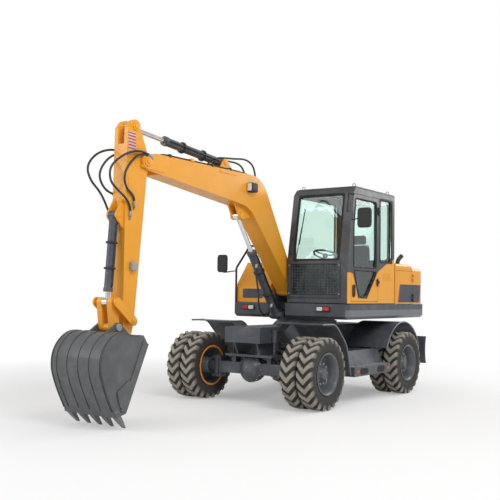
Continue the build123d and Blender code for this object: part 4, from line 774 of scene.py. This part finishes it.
def arm_trim():
    """Arm: bosses at its pins, a slanted red and white field on its near side, a bare plate and a valve."""
    near = ARM_NEAR_Y
    caps = [pin_cap(x, z, BOOM_Y + hand * half, hand, radius, 0.010) for hand in (1, -1)
            for (x, z), half, radius in ((ARM_EYE, ARM_HALF, 0.052), ((2.685, 1.200), 0.184, 0.040))]
    fitted("arm_caps", caps, YELLOW, "arm", smooth=False)
    left, right, up = np.array([(2.642, 3.243), (2.767, 3.224), (0.008, 0.221)])
    bands, slope, field_y, band_y = 6, 0.12, near + 0.0012, near + 0.0020
    red = []
    for low in np.arange(bands) / bands:
        high = low + 0.5 / bands
        corners = [left + low * up, right + min(low + slope, 1) * up, right + min(high + slope, 1) * up,
                   left + high * up]
        red.append(plate(corners, field_y, band_y))
    plated("arm_field", [plate([left, right, right + up, left + up], near, field_y)], PALE, "arm")
    plated("arm_bands", red, SIGN_RED, "arm")
    corners = ((2.600, 2.937), (2.757, 2.917), (2.749, 2.691), (2.593, 2.708))
    bare = rounded([(x, z, 0.014) for x, z in corners])
    plated("arm_plate", [plate(bare, near, near + 0.002)], YELLOW, "arm")
    block = lozenge((2.664, near + 0.028, 1.850), (0.045, 0.028, 0.050), 0.22, 12)
    fitted("arm_valve", [block], SILVER, "arm")


def boom_lamp():
    """Work lamp on the boom: a rounded housing with a lens set in its front, which faces +X."""
    x, y, z = 0.310, -0.005, 3.060
    long, wide, high, lens = 0.080, 0.043, 0.068, 0.78
    housing = lozenge((x, y, z), (long, wide, high), 0.25, 16)
    fitted("boom_lamp_housing", [housing], BLACK, "boom", instead=["boom_lamp"])
    front = lozenge((x + long * 0.97, y, z), (0.010, wide * lens, high * lens), 0.25, 16)
    fitted("boom_lamp_lens", [front], WHITE_LENS, "boom")


boom_trim()
arm_trim()
boom_lamp()


# Hoses and pipes

HOSE_RADIUS = 0.0135
HOSE_UP = (0, 1, 0)
HOSE_START, HOSE_END = 3.25, 2.45
# columns: name, Y, and the route's points as (X, Z), given from the boom's side down to the arm
ARM_HOSES = [
    ("hose_near_wide", -0.034, [
        (2.430, 3.200), (2.540, 3.236), (2.700, 3.225), (2.890, 3.150), (3.100, 2.990), (3.090, 2.815),
        (2.950, 2.724), (2.800, 2.640), (2.724, 2.540), (2.725, 2.453)]),
    ("hose_near_tight", -0.044, [
        (2.390, 3.180), (2.500, 3.215), (2.640, 3.190), (2.780, 3.060), (2.866, 2.910), (2.815, 2.764),
        (2.715, 2.713), (2.664, 2.650), (2.661, 2.578)]),
    ("hose_far_wide", -0.346, [
        (2.430, 3.205), (2.560, 3.250), (2.706, 3.262), (2.901, 3.230), (3.080, 3.140), (3.200, 2.985),
        (3.130, 2.832), (3.000, 2.735), (2.913, 2.629), (2.850, 2.515), (2.785, 2.400)]),
    ("hose_far_tight", -0.338, [
        (2.400, 3.170), (2.540, 3.215), (2.715, 3.215), (2.865, 3.130), (2.975, 3.000), (3.000, 2.887),
        (2.935, 2.782), (2.834, 2.722), (2.735, 2.708)]),
]
BOOM_HOSES = [
    ("arch_upper", -0.140, [
        (1.150, 3.268), (1.090, 3.350), (0.960, 3.405), (0.804, 3.425), (0.571, 3.446), (0.340, 3.480),
        (0.160, 3.440), (0.070, 3.330), (0.060, 3.210)]),
    ("arch_lower", -0.250, [
        (1.100, 3.268), (1.030, 3.340), (0.900, 3.385), (0.720, 3.410), (0.520, 3.425), (0.330, 3.420),
        (0.210, 3.360), (0.160, 3.250)]),
]
FOOT_HOSE = [(0.010, 1.967), (0.035, 1.890), (0.000, 1.740), (-0.055, 1.560), (-0.050, 1.400),
             (-0.120, 1.265), (-0.240, 1.230), (-0.350, 1.290), (-0.400, 1.385)]
BOOM_LINE = [(2.240, 3.230), (2.215, 3.252), (2.150, 3.264), (1.945, 3.264), (1.355, 3.264), (0.800, 3.264),
             (0.395, 3.258), (0.130, 3.190), (-0.080, 3.010), (-0.300, 2.720), (-0.560, 2.330),
             (-0.790, 1.960)]
# columns: name, body, the cylinder's foot and eye as (X, Z), the pipe's start, end and distance
CYLINDER_PIPES = [
    ("boom_pipe", "boom_cylinder_barrel", (-0.616, 1.223), (0.419, 2.651), 0.12, 1.10, 0.082),
    ("arm_pipe", "arm_cylinder_barrel", ARM_LUG, ARM_EYE, 0.10, 1.16, 0.072),
    ("bucket_pipe", "bucket_cylinder_barrel", (2.876, 2.446), (2.950, 1.423), 0.10, 0.86, 0.066),
]


def ferrules(path):
    """Crimped sleeve at each end of a hose, a little wider than it, with a bevelled rim."""
    shape = np.array([(0, -0.012), (0.8, -0.012), (1.45, -0.008), (1.45, 0.040), (1.2, 0.048), (0, 0.048)])
    return [turned(shape * (HOSE_RADIUS, 1), 16, end, on - end) for end, on in (path[:2], path[:-3:-1])]


def hose(name, route, bodies, across=()):
    """Hose along a route, on one body; where places across are given, it is left in the world frame on no
    body, and the places themselves are not used.
    """
    path = nurbs(route)
    piece = several(name, [tube_grid(path, HOSE_RADIUS, 12, HOSE_UP)])
    piece.data.materials.append(HOSE)
    if across:
        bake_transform(piece)
    else:
        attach(piece, *bodies)
    return path


def arm_hoses():
    """Hoses that cross from the boom to the arm: each hose is left in the world frame, with a sleeve on the
    boom, one on the arm, and a union on the arm.
    """
    for name, y, route in ARM_HOSES:
        side = math.copysign(1, y - BOOM_Y)
        drift = np.linspace(y, BOOM_Y + side * (ARM_HALF + HOSE_RADIUS + 0.004), len(route))
        path = hose(name, [(x, across, z) for (x, z), across in zip(route, drift)], ("boom", "arm"),
                    ((2.60, y, HOSE_START), (2.85, y, HOSE_END)))
        for body, sleeve in zip(("boom", "arm"), ferrules(path)):
            fitted(f"{name}_{body}_end", [sleeve], SILVER, body, smooth=False)
        base = [path[-1], path[-1] + 0.6 * (path[-1] - path[-4]),
                (path[-1][0], BOOM_Y + side * ARM_HALF, path[-1][2] - 0.05)]
        fitted(f"{name}_union", [tube_grid(base, 0.012, 10, (0, 0.3, 1))], SILVER, "arm")


def pipes():
    """Lines along the boom and on the cylinders, with clamps, and the hoses over the boom and at its foot."""
    lines = [tube_grid(nurbs([(x, y, z) for x, z in BOOM_LINE]), 0.010, 10, HOSE_UP)
             for y in (-0.066, -0.096)]
    fitted("boom_lines", lines, BLACK, "boom")
    clamps = [lozenge((x, -0.081, 3.262), (0.022, 0.040, 0.020), 0.3, 10) for x in (2.049, 1.192, 0.787)]
    fitted("boom_clamps", clamps, BLACK, "boom")
    gold = lozenge((1.615, -0.081, 3.266), (0.030, 0.042, 0.024), 0.3, 10)
    fitted("boom_gold_clamp", [gold], YELLOW, "boom")
    for name, y, route in BOOM_HOSES:
        path = hose(name, [(x, y, z) for x, z in route], ("boom",))
        fitted(f"{name}_ends", ferrules(path), SILVER, "boom", smooth=False)
    y = -0.130
    path = hose("loop_foot", [(x, y, z) for x, z in FOOT_HOSE], ("upper", "boom_cylinder_barrel"),
                ((-0.150, y, 1.270), (0.010, y, 1.900)))
    first, last = ferrules(path)
    fitted("loop_foot_upper_end", [first], SILVER, "boom_cylinder_barrel", smooth=False)
    fitted("loop_foot_lower_end", [last], SILVER, smooth=False)
    for name, body, foot, eye, low, high, reach in CYLINDER_PIPES:
        way = unit((eye[0] - foot[0], 0, eye[1] - foot[1]))
        start = np.array([foot[0], BOOM_Y, foot[1]])
        path = [start + along * way + (0, share * reach, 0)
                for along, share in ((low, 0.6), (low + 0.02, 1), (high - 0.02, 1), (high, 0.6))]
        fitted(name, [tube_grid(path, 0.009, 10, (0.3, 0.2, 1))], BLACK, body)
        band = [(0.7 * reach, -0.010), (reach + 0.004, -0.010), (reach + 0.004, 0.010), (0.7 * reach, 0.010)]
        bands = [turned(band, 28, start + (low + share * (high - low)) * way, way, closed=True)
                 for share in (0.3, 0.7)]
        fitted(f"{name}_bands", bands, BLACK, body)


arm_hoses()
pipes()


# Cab

def window_trim():
    """Black seals in the cab's openings: a rim from the opening's edge to a rounded outline inside it."""
    inset, lap, outer_radius = 0.020, 0.010, 0.030
    # columns: plane, face, way out, a low, a high, b low, b high, corner radius
    windows = [(at_side, CAB_LEFT - 0.012, 0.016, -2.105, -1.670, 2.060, 3.050, 0.060),
               (at_side, CAB_RIGHT - 0.004, 0.016, -2.085, -0.820, 2.060, 3.050, 0.060),
               (at_front, CAB_REAR_X - 0.004, 0.016, 0.098, 0.915, 2.100, 3.050, 0.060),
               (at_screen, -0.010, 0.014, 0.098, 0.875, 2.060, 3.050, 0.060),
               (at_screen, -0.010, 0.012, 0.098, 0.875, 1.530, 2.010, 0.040)]
    seals = []
    for plane, face, out, a_low, a_high, b_low, b_high, radius in windows:
        outer = box_outline(a_low - lap, a_high + lap, b_low - lap, b_high + lap, outer_radius)
        inner = box_outline(a_low + inset, a_high - inset, b_low + inset, b_high - inset, radius)
        seals.append(plate(outer, face, face + out, plane, [inner]))
    plated("window_seals", seals, RUBBER_SEAL)


DOOR_OUTLINE = [(-0.760, 1.455, 0.030), (-0.760, 2.600, 0.200), (-0.815, 3.040, 0.030),
                (-1.610, 3.040, 0.030), (-1.610, 1.455, 0.030)]
DOOR_UPPER = [(-0.820, 1.960, 0.035), (-0.820, 2.560, 0.200), (-0.874, 2.980, 0.050),
              (-1.550, 2.980, 0.050), (-1.550, 1.960, 0.035)]
DOOR_LOWER = [(-0.830, 1.915, 0.020), (-0.985, 1.525, 0.110), (-1.240, 1.525, 0.110), (-1.540, 1.860, 0.060),
              (-1.550, 1.915, 0.015)]


def door():
    """Cab door: a plate with an upper pane and a foot pane swept round the sill, seals, handle and hinges."""
    panes = [rounded(DOOR_UPPER), rounded(DOOR_LOWER)]
    skin = plate(rounded(DOOR_OUTLINE), DOOR_INNER_Y, CAB_LEFT, holes=panes)
    plated("door_plate", [skin], CAB_SKIN, "cab_door", instead=["cab_door"])
    glazing = [plate(edge, *PANE_Y) for edge in panes]
    plated("door_panes", glazing, GLASS, "cab_door", instead=["door_glass"])
    seals = [seal(flat(edge, at_side, CAB_LEFT - 0.001), 0.010, (0, 1, 0)) for edge in panes]
    fitted("door_seals", seals, RUBBER_SEAL, "cab_door")
    metal = [lozenge((-1.578, 1.036, 1.745), (0.016, 0.012, 0.055), 0.35, 12)]
    knuckle = [(0, -0.020), (0.014, -0.020), (0.014, 0.020), (0, 0.020)]
    for z in (1.750, 2.850):
        metal.append(turned(knuckle, 20, (-1.613, 1.041, z), (0, 0, 1)))
        metal.append(lozenge((-1.590, 1.033, z), (0.024, 0.008, 0.020), 0.2, 10))
    fitted("door_metal", metal, BLACK, "cab_door")
    rim, inside, back = (hull([(-0.822, 1.560, r), (-0.822, 1.660, r)]) for r in (0.044, 0.033, 0.034))
    # The black plate behind the slats fills the vent's opening: painted shade
    vent = [plate(rim, VENT_Y, VENT_Y + 0.0085, holes=[inside]), plate(back, VENT_Y, VENT_Y + 0.0025)]
    for z in np.linspace(1.545, 1.665, 6):
        vent.append(plate(box_outline(-0.850, -0.794, z, z + 0.010, 0.003), VENT_Y + 0.002, VENT_Y + 0.0065))
    plated("door_vent", vent, BLACK, "cab_door")


def guard():
    """Guard over the foot pane: a stepped frame with rounded corners round a net of crossed wires."""
    frames = []
    # columns: the frame's and its opening's outlines, and the near and far reach
    for outer, inner, near, far in (
            ((0.020, 0.900, 1.500, 2.040, 0.030), (0.062, 0.858, 1.542, 1.998, 0.022), 0.001, 0.014),
            ((0.034, 0.886, 1.514, 2.026, 0.026), (0.052, 0.868, 1.532, 2.008, 0.022), 0.012, 0.021)):
        frames.append(plate(box_outline(*outer), CAB_FRONT_X + near, CAB_FRONT_X + far, at_front,
                            [box_outline(*inner)]))
    plated("guard_frame", frames, CAB_DARK, instead=["front_guard"])
    wires = []
    low, high, left, right, thick = 1.545, 1.995, 0.062, 0.858, 0.004
    for y in np.linspace(left + 0.024, right - 0.024, 17):
        x = CAB_FRONT_X + 0.009
        wires.append(tube_grid([(x, y, low), (x, y, high)], thick, 6, (1, 0.2, 0)))
    for z in np.linspace(low + 0.02, high - 0.02, 11):
        x = CAB_FRONT_X + 0.012
        wires.append(tube_grid([(x, left, z), (x, right, z)], thick, 6))
    fitted("guard_net", wires, WHEEL)
    heads = [bolt((CAB_FRONT_X + 0.014, y, z), (1, 0, 0), 0.013, 0.008)
             for y in (0.030, 0.890) for z in (1.560, 1.980)]
    fitted("guard_bolts", heads, SILVER, smooth=False)


def roof():
    """Roof: a gutter round its edge, a pale panel with the hatch's opening, lifting rings and a lamp."""
    outline = box_outline(-2.185, -0.895, 0.010, 1.005, 0.070)
    opening = box_outline(-1.815, -1.090, 0.225, 0.790, 0.030)
    plated("roof_panel", [plate(outline, CAB_TOP - 0.002, CAB_TOP + 0.014, at_top, [opening])], PALE)
    gutter = flat(box_outline(-2.193, -0.885, 0.000, 1.014, 0.060), at_top, CAB_TOP - 0.004)
    fitted("roof_gutter", [seal(gutter, 0.016, (0, 0, 1))], CAB_DARK)
    rings = [hoop(0.024, 0.007, 8, 20, (x, y, CAB_TOP + 0.036), (1, 0, 0))
             for x in (-0.960, -2.090) for y in (0.070, 0.945)]
    fitted("lifting_rings", rings, SILVER)
    fitted("roof_lamp", [lozenge((-2.120, 0.830, CAB_TOP + 0.028), (0.030, 0.030, 0.022), 0.5, 12)], BLACK)


def cab_fittings():
    """Wiper, grab handle, steering wheel with column and knob, and the slanted louvres behind the door."""
    def screen(*places):
        """Points on the cab's front from (Y, Z, reach)."""
        return [at_screen(*(np.array(float(value)) for value in place)) for place in places]
    wiper = [tube_grid(screen((0.140, 2.040, 0.006), (0.150, 2.060, 0.022), (0.200, 2.560, 0.022)), 0.006, 8),
             tube_grid(screen((0.180, 2.300, 0.012), (0.225, 2.840, 0.012)), 0.008, 8)]
    fitted("wiper", wiper, BLACK)
    grab = screen((0.050, 2.150, 0.0), (0.050, 2.160, 0.050), (0.050, 2.280, 0.055), (0.050, 2.400, 0.050),
                  (0.050, 2.410, 0.0))
    fitted("grab_handle", [tube_grid(nurbs(grab), 0.010, 10)], BLACK)
    lean = np.array([-0.34, 0, 0.94])
    hub = np.array([-0.905, 0.500, 2.150])
    spots = turned([(0.175, 0.0)], 3, hub, lean)[0][:, 0]
    wheel = [hoop(0.180, 0.014, 10, 48, hub, lean)]
    for place in spots:
        wheel.append(tube_grid([hub, hub + 0.5 * (place - hub) - 0.01 * lean, place], 0.009, 8))
    column = [(-0.820, 0.500, 1.475), (-0.830, 0.500, 1.800), hub - 0.03 * lean]
    wheel.append(tube_grid(column, [0.055, 0.045, 0.032], 14))
    knob = [(0, 0.0), (0.020, 0.004), (0.024, 0.030), (0.016, 0.046), (0, 0.050)]
    boss = [(0, -0.03), (0.040, -0.028), (0.042, 0.0), (0.030, 0.012), (0, 0.014)]
    wheel += [turned(knob, 16, spots[1], lean), turned(boss, 24, hub, lean)]
    fitted("steering_wheel", wheel, BLACK, instead=["steering_column"])
    louvres = []
    for x in -2.075 + 0.048 * np.arange(6):
        slat = [(x, 1.775), (x + 0.016, 1.775), (x + 0.052, 1.900), (x + 0.036, 1.900)]
        louvres.append(plate(slat, CAB_LEFT - 0.0005, CAB_LEFT + 0.0025))
    plated("side_louvres", louvres, YELLOW)
    pillar = [(-0.660, 2.000), (-0.818, 3.040), (-0.900, 3.040), (-0.800, 2.000)]
    plated("front_pillar", [plate(pillar, 0.930, 0.976)], CAB_DARK)


def cushion(centre, half, crown, power=0.30, lean=0.0):
    """Crowned cushion: a rounded box whose faces bulge by crown (1 - u^2)(1 - v^2) across them, with its
    sides pulled in between the corners, turned back about Y by a lean."""
    points, wrap_rows, wrap_columns = lozenge((0, 0, 0), half, power, 44)
    u, v = points[..., 0] / half[0], points[..., 1] / half[1]
    points[..., 2] += crown * (1 - u ** 2) * (1 - v ** 2) * np.sign(points[..., 2])
    points[..., 0] -= 0.006 * (1 - v ** 2) * np.sign(u) * (np.abs(u) > 0.9)
    c, d = math.cos(lean), math.sin(lean)
    points = points @ np.array([[c, 0, d], [0, 1, 0], [-d, 0, c]]).T
    return points + centre, wrap_rows, wrap_columns


def seat():
    """Driver's seat: crowned seat, back and headrest with piped seams, on a plinth."""
    plinth = [lozenge((-1.635, 0.500, 1.610), (0.190, 0.190, 0.130), 0.25, 14),
              lozenge((-1.640, 0.500, 1.765), (0.220, 0.220, 0.032), 0.25, 14)]
    fitted("seat_plinth", plinth, BLACK, instead=["seat"])
    # columns: name, centre, half sizes, crown, lean
    pads = [("seat_cushion", (-1.610, 0.500, 1.858), (0.238, 0.236, 0.048), 0.012, 0.0),
            ("seat_back", (-1.895, 0.500, 2.140), (0.205, 0.225, 0.042), 0.014, -1.50),
            ("seat_headrest", (-1.912, 0.500, 2.432), (0.070, 0.150, 0.034), 0.008, -1.50)]
    for name, centre, half, crown, lean in pads:
        pad = fitted(name, [cushion(centre, half, crown, 0.30, lean)], CLOTH)
        edge = box_outline(-half[0], half[0], -half[1], half[1], 0.03)
        c, d = math.cos(lean), math.sin(lean)
        rim = np.stack([c * edge[:, 0], edge[:, 1], -d * edge[:, 0]], -1) * 0.985 + centre
        fitted(f"{name}_piping", [seal(rim, 0.005, (-d, 0, c))], RUBBER_SEAL)


window_trim()
door()
guard()
roof()
cab_fittings()
seat()


# Lamps, mirrors, exhaust and the bonnet's vent

def mirror(name, centre, half, rod, instead=()):
    """Mirror: a rounded housing with a bright face to the rear, on a bent rod."""
    fitted(f"{name}_housing", [lozenge(centre, half, 0.35, 18)], BLACK, instead=instead)
    face = (centre[0] - half[0] * 0.85, centre[1], centre[2])
    shape = lozenge(face, (0.006, half[1] * 0.84, half[2] * 0.88), 0.35, 14)
    fitted(f"{name}_face", [shape], CHROME)
    path = nurbs([(centre[0], y, z) for y, z in rod])
    fitted(f"{name}_rod", [tube_grid(path, 0.009, 10, (1, 0.2, 0.1))], BLACK)


def upper_things():
    """Mirrors, deck lamps, exhaust and the bonnet's vent."""
    mirror("mirror_right", (-0.677, -1.280, 2.025), (0.022, 0.096, 0.142),
           [(-1.016, 1.905), (-1.120, 1.895), (-1.240, 1.880), (-1.280, 1.890), (-1.280, 1.930)], ["mirrors"])
    mirror("mirror_left", (-0.745, 1.235, 2.670), (0.022, 0.112, 0.146),
           [(1.020, 2.650), (1.090, 2.655), (1.120, 2.660), (1.160, 2.660)])
    height, spacing = 1.336, 0.055
    for side, middle, hand in (("right", -0.7125, 1), ("left", 0.6325, -1)):
        housing = lozenge((-0.617, middle, height), (0.011, 0.116, 0.037), 0.22, 14)
        fitted(f"deck_lamp_{side}", [housing], BLACK, instead=["deck_lamps"] if side == "right" else [])
        for colour, lens, place in (("red", RED_LENS, -1), ("white", WHITE_LENS, 1)):
            shape = lozenge((-0.607, middle + place * hand * spacing, height), (0.007, 0.048, 0.028), 0.3, 12)
            fitted(f"deck_lens_{side}_{colour}", [shape], lens)
    stack = nurbs([(-3.000, y, z) for y, z in ((0.700, 1.990), (0.700, 2.090), (0.712, 2.150), (0.750, 2.200),
                                               (0.790, 2.235))])
    fitted("exhaust_pipe", [tube_grid(stack, 0.036, 20, (1, 0, 0))], DARK, instead=["exhaust"])
    # Near-black disc on the pipe's closed end: painted shade in its open mouth
    disc = [(0, 0.001), (0.028, 0.001), (0.030, 0.004), (0, 0.004)]
    mouth = turned(disc, 20, stack[-1], stack[-1] - stack[-2])
    fitted("exhaust_mouth_painted_shade", [mouth], RUBBER_SEAL, smooth=False)
    face = -0.696
    # The dark plate under the slats fills the vent's opening: painted shade
    vent = [plate(box_outline(-0.880, -0.500, 1.480, 1.625, 0.020), face - 0.0055, face, at_front)]
    for z in 1.498 + 0.020 * np.arange(6):
        vent.append(plate(box_outline(-0.860, -0.520, z, z + 0.008, 0.003), face, face + 0.006, at_front))
    plated("bonnet_vent", vent, DARK)


def chassis_things():
    """The step boxes' holes as near-black plates of painted shade, their reflectors and treads, the fenders'
    lips painted pale as a highlight on their curved edges, and the front axle's cover.
    """
    holes, reflectors, treads, lips = [], [], [], []
    half_way = [(-1, -0.4), (-0.75, -1), (0.75, -1), (1, -0.4)]
    octagon = np.array(half_way + [(-a, -b) for a, b in half_way])
    outer, inner, thick, sweep = 1.130, 0.430, 0.012, 0.645
    front = [(0.250, 1.140), (0.070, 1.140), (-0.110, 1.140), (-0.270, 0.995), (-0.430, 0.850),
             (-0.500, 0.625), (-0.566, 0.410)]
    turn = np.linspace(0.35, np.pi - 0.35, 30)
    rear = np.stack([AXLE_X["rear"] + sweep * np.cos(turn), AXLE_Z + sweep * np.sin(turn)], -1)
    for hand in (-1, 1):
        near, far = sorted((hand * 1.181, hand * 1.187))
        # Holes in the step boxes as flat near-black plates: painted shade where the box is open
        for x in (-1.420, -0.880):
            holes.append(plate(octagon * (0.120, 0.044) + (x, 0.452), near, far - 0.003 if hand > 0 else far))
        for x in (-1.640, -0.680):
            reflectors.append(plate(box_outline(x - 0.045, x + 0.045, 0.440, 0.475, 0.008), near, far))
        low, high = sorted((hand * 1.060, hand * 1.172))
        for x in -1.680 + 0.062 * np.arange(18):
            treads.append(plate(box_outline(x, x + 0.022, low, high, 0.006), 0.5195, 0.5250, at_top))
        for y in (outer, inner):
            lips.append(tube_grid(nurbs([(x, hand * y, z) for x, z in front]), thick, 8, (0, 1, 0)))
        lips.append(tube_grid([(x, hand * outer, z) for x, z in rear], thick, 8, (0, 1, 0)))
    plated("step_holes_painted_shade", holes, RUBBER_SEAL, "chassis")
    plated("step_reflectors", reflectors, RED_LENS, "chassis")
    plated("step_treads", treads, SILVER, "chassis")
    # The lips' pale grey is a painted highlight on the fenders' curved edges
    fitted("fender_lips", lips, PAINTED_HIGHLIGHT_GREY, "chassis")
    x, ahead = AXLE_X["front"], (1, 0, 0)
    dome = [(0, 0.198), (0.050, 0.198), (0.060, 0.188), (0.120, 0.160), (0.158, 0.120), (0.172, 0.080),
            (0.190, 0.078), (0.190, 0.060), (0, 0.060)]
    fitted("axle_cover", [turned(dome, 40, (x, 0, AXLE_Z), ahead)], DARK, "chassis")
    heads = nut_ring((x + 0.077, 0, AXLE_Z), ahead, 0.181, 14, 0.009, 0.010)
    fitted("axle_bolts", heads, SILVER, "chassis", smooth=False)


upper_things()
chassis_things()


# Floor, light and camera

def stage():
    """Pale floor that camera rays see fade to white at its rim."""
    size, rim = 14.0, 8.0
    corners = np.array([[[-size, -size, 0], [-size, size, 0]], [[size, -size, 0], [size, size, 0]]], float)
    floor = several("floor", [(corners, False, False)])
    material, tree, surface = shader("pale_floor", (0.86, 0.86, 0.86), 0.9)
    length = add(tree, "VectorMath", {0: spot(tree)}, operation="LENGTH").outputs["Value"]
    fade = spread(tree, length, 0.30, 1.0, rim * 0.45, rim)
    glow = add(tree, "Emission", {}).outputs["Emission"]
    seen = both(tree, fade, add(tree, "LightPath", {}).outputs["Is Camera Ray"])
    shown = add(tree, "MixShader", {"Fac": seen, 1: surface.outputs["BSDF"], 2: glow}).outputs["Shader"]
    feed(tree, tree.nodes["Material Output"], {"Surface": shown})
    floor.data.materials.append(material)


def lamp(name, at, target, size, power):
    """Square soft lamp that faces a target."""
    data = bpy.data.lights.new(name, "AREA")
    data.size = size
    data.energy = power
    thing = bpy.data.objects.new(name, data)
    thing.location = at
    thing.rotation_mode = "QUATERNION"
    thing.rotation_quaternion = (Vector(target) - Vector(at)).to_track_quat("-Z", "Y")
    bpy.context.scene.collection.objects.link(thing)


def world():
    """Even sky that lights at a plain level and shows as white."""
    sky = bpy.data.worlds.new("soft_sky")
    sky.use_nodes = True
    tree = sky.node_tree
    rays = add(tree, "LightPath", {}).outputs
    seen = maths(tree, "MAXIMUM", rays["Is Camera Ray"], rays["Is Transmission Ray"])
    feed(tree, tree.nodes["Background"], {"Color": (1, 1, 1), "Strength": spread(tree, seen, 0.52, 1.0)})
    bpy.context.scene.world = sky


def photo_camera():
    """Camera at the photograph's place, turned by yaw about Z, then pitch and roll."""
    data = bpy.data.cameras.new("camera")
    data.lens = CAMERA_LENS
    data.sensor_width = 36.0
    thing = bpy.data.objects.new("camera", data)
    yaw, pitch, roll = CAMERA_YAW, CAMERA_PITCH, CAMERA_ROLL
    ahead = Vector((math.cos(yaw) * math.cos(pitch), math.sin(yaw) * math.cos(pitch), math.sin(pitch)))
    right = Vector((math.sin(yaw), -math.cos(yaw), 0))
    up = right.cross(ahead)
    right, up = math.cos(roll) * right + math.sin(roll) * up, math.cos(roll) * up - math.sin(roll) * right
    thing.matrix_world = Matrix((right, up, -ahead)).transposed().to_4x4()
    thing.location = CAMERA_AT
    bpy.context.scene.collection.objects.link(thing)
    bpy.context.scene.camera = thing


stage()
world()
lamp("key", (5.0, 7.5, 8.5), (0.0, 0.0, 1.4), 5.0, 560)
lamp("fill", (9.0, -4.0, 5.0), (0.5, 0.0, 1.4), 5.0, 230)
lamp("back", (-8.0, 3.0, 6.0), (-1.0, 0.0, 1.6), 5.0, 300)
photo_camera()
bpy.context.scene.view_settings.view_transform = "Standard"
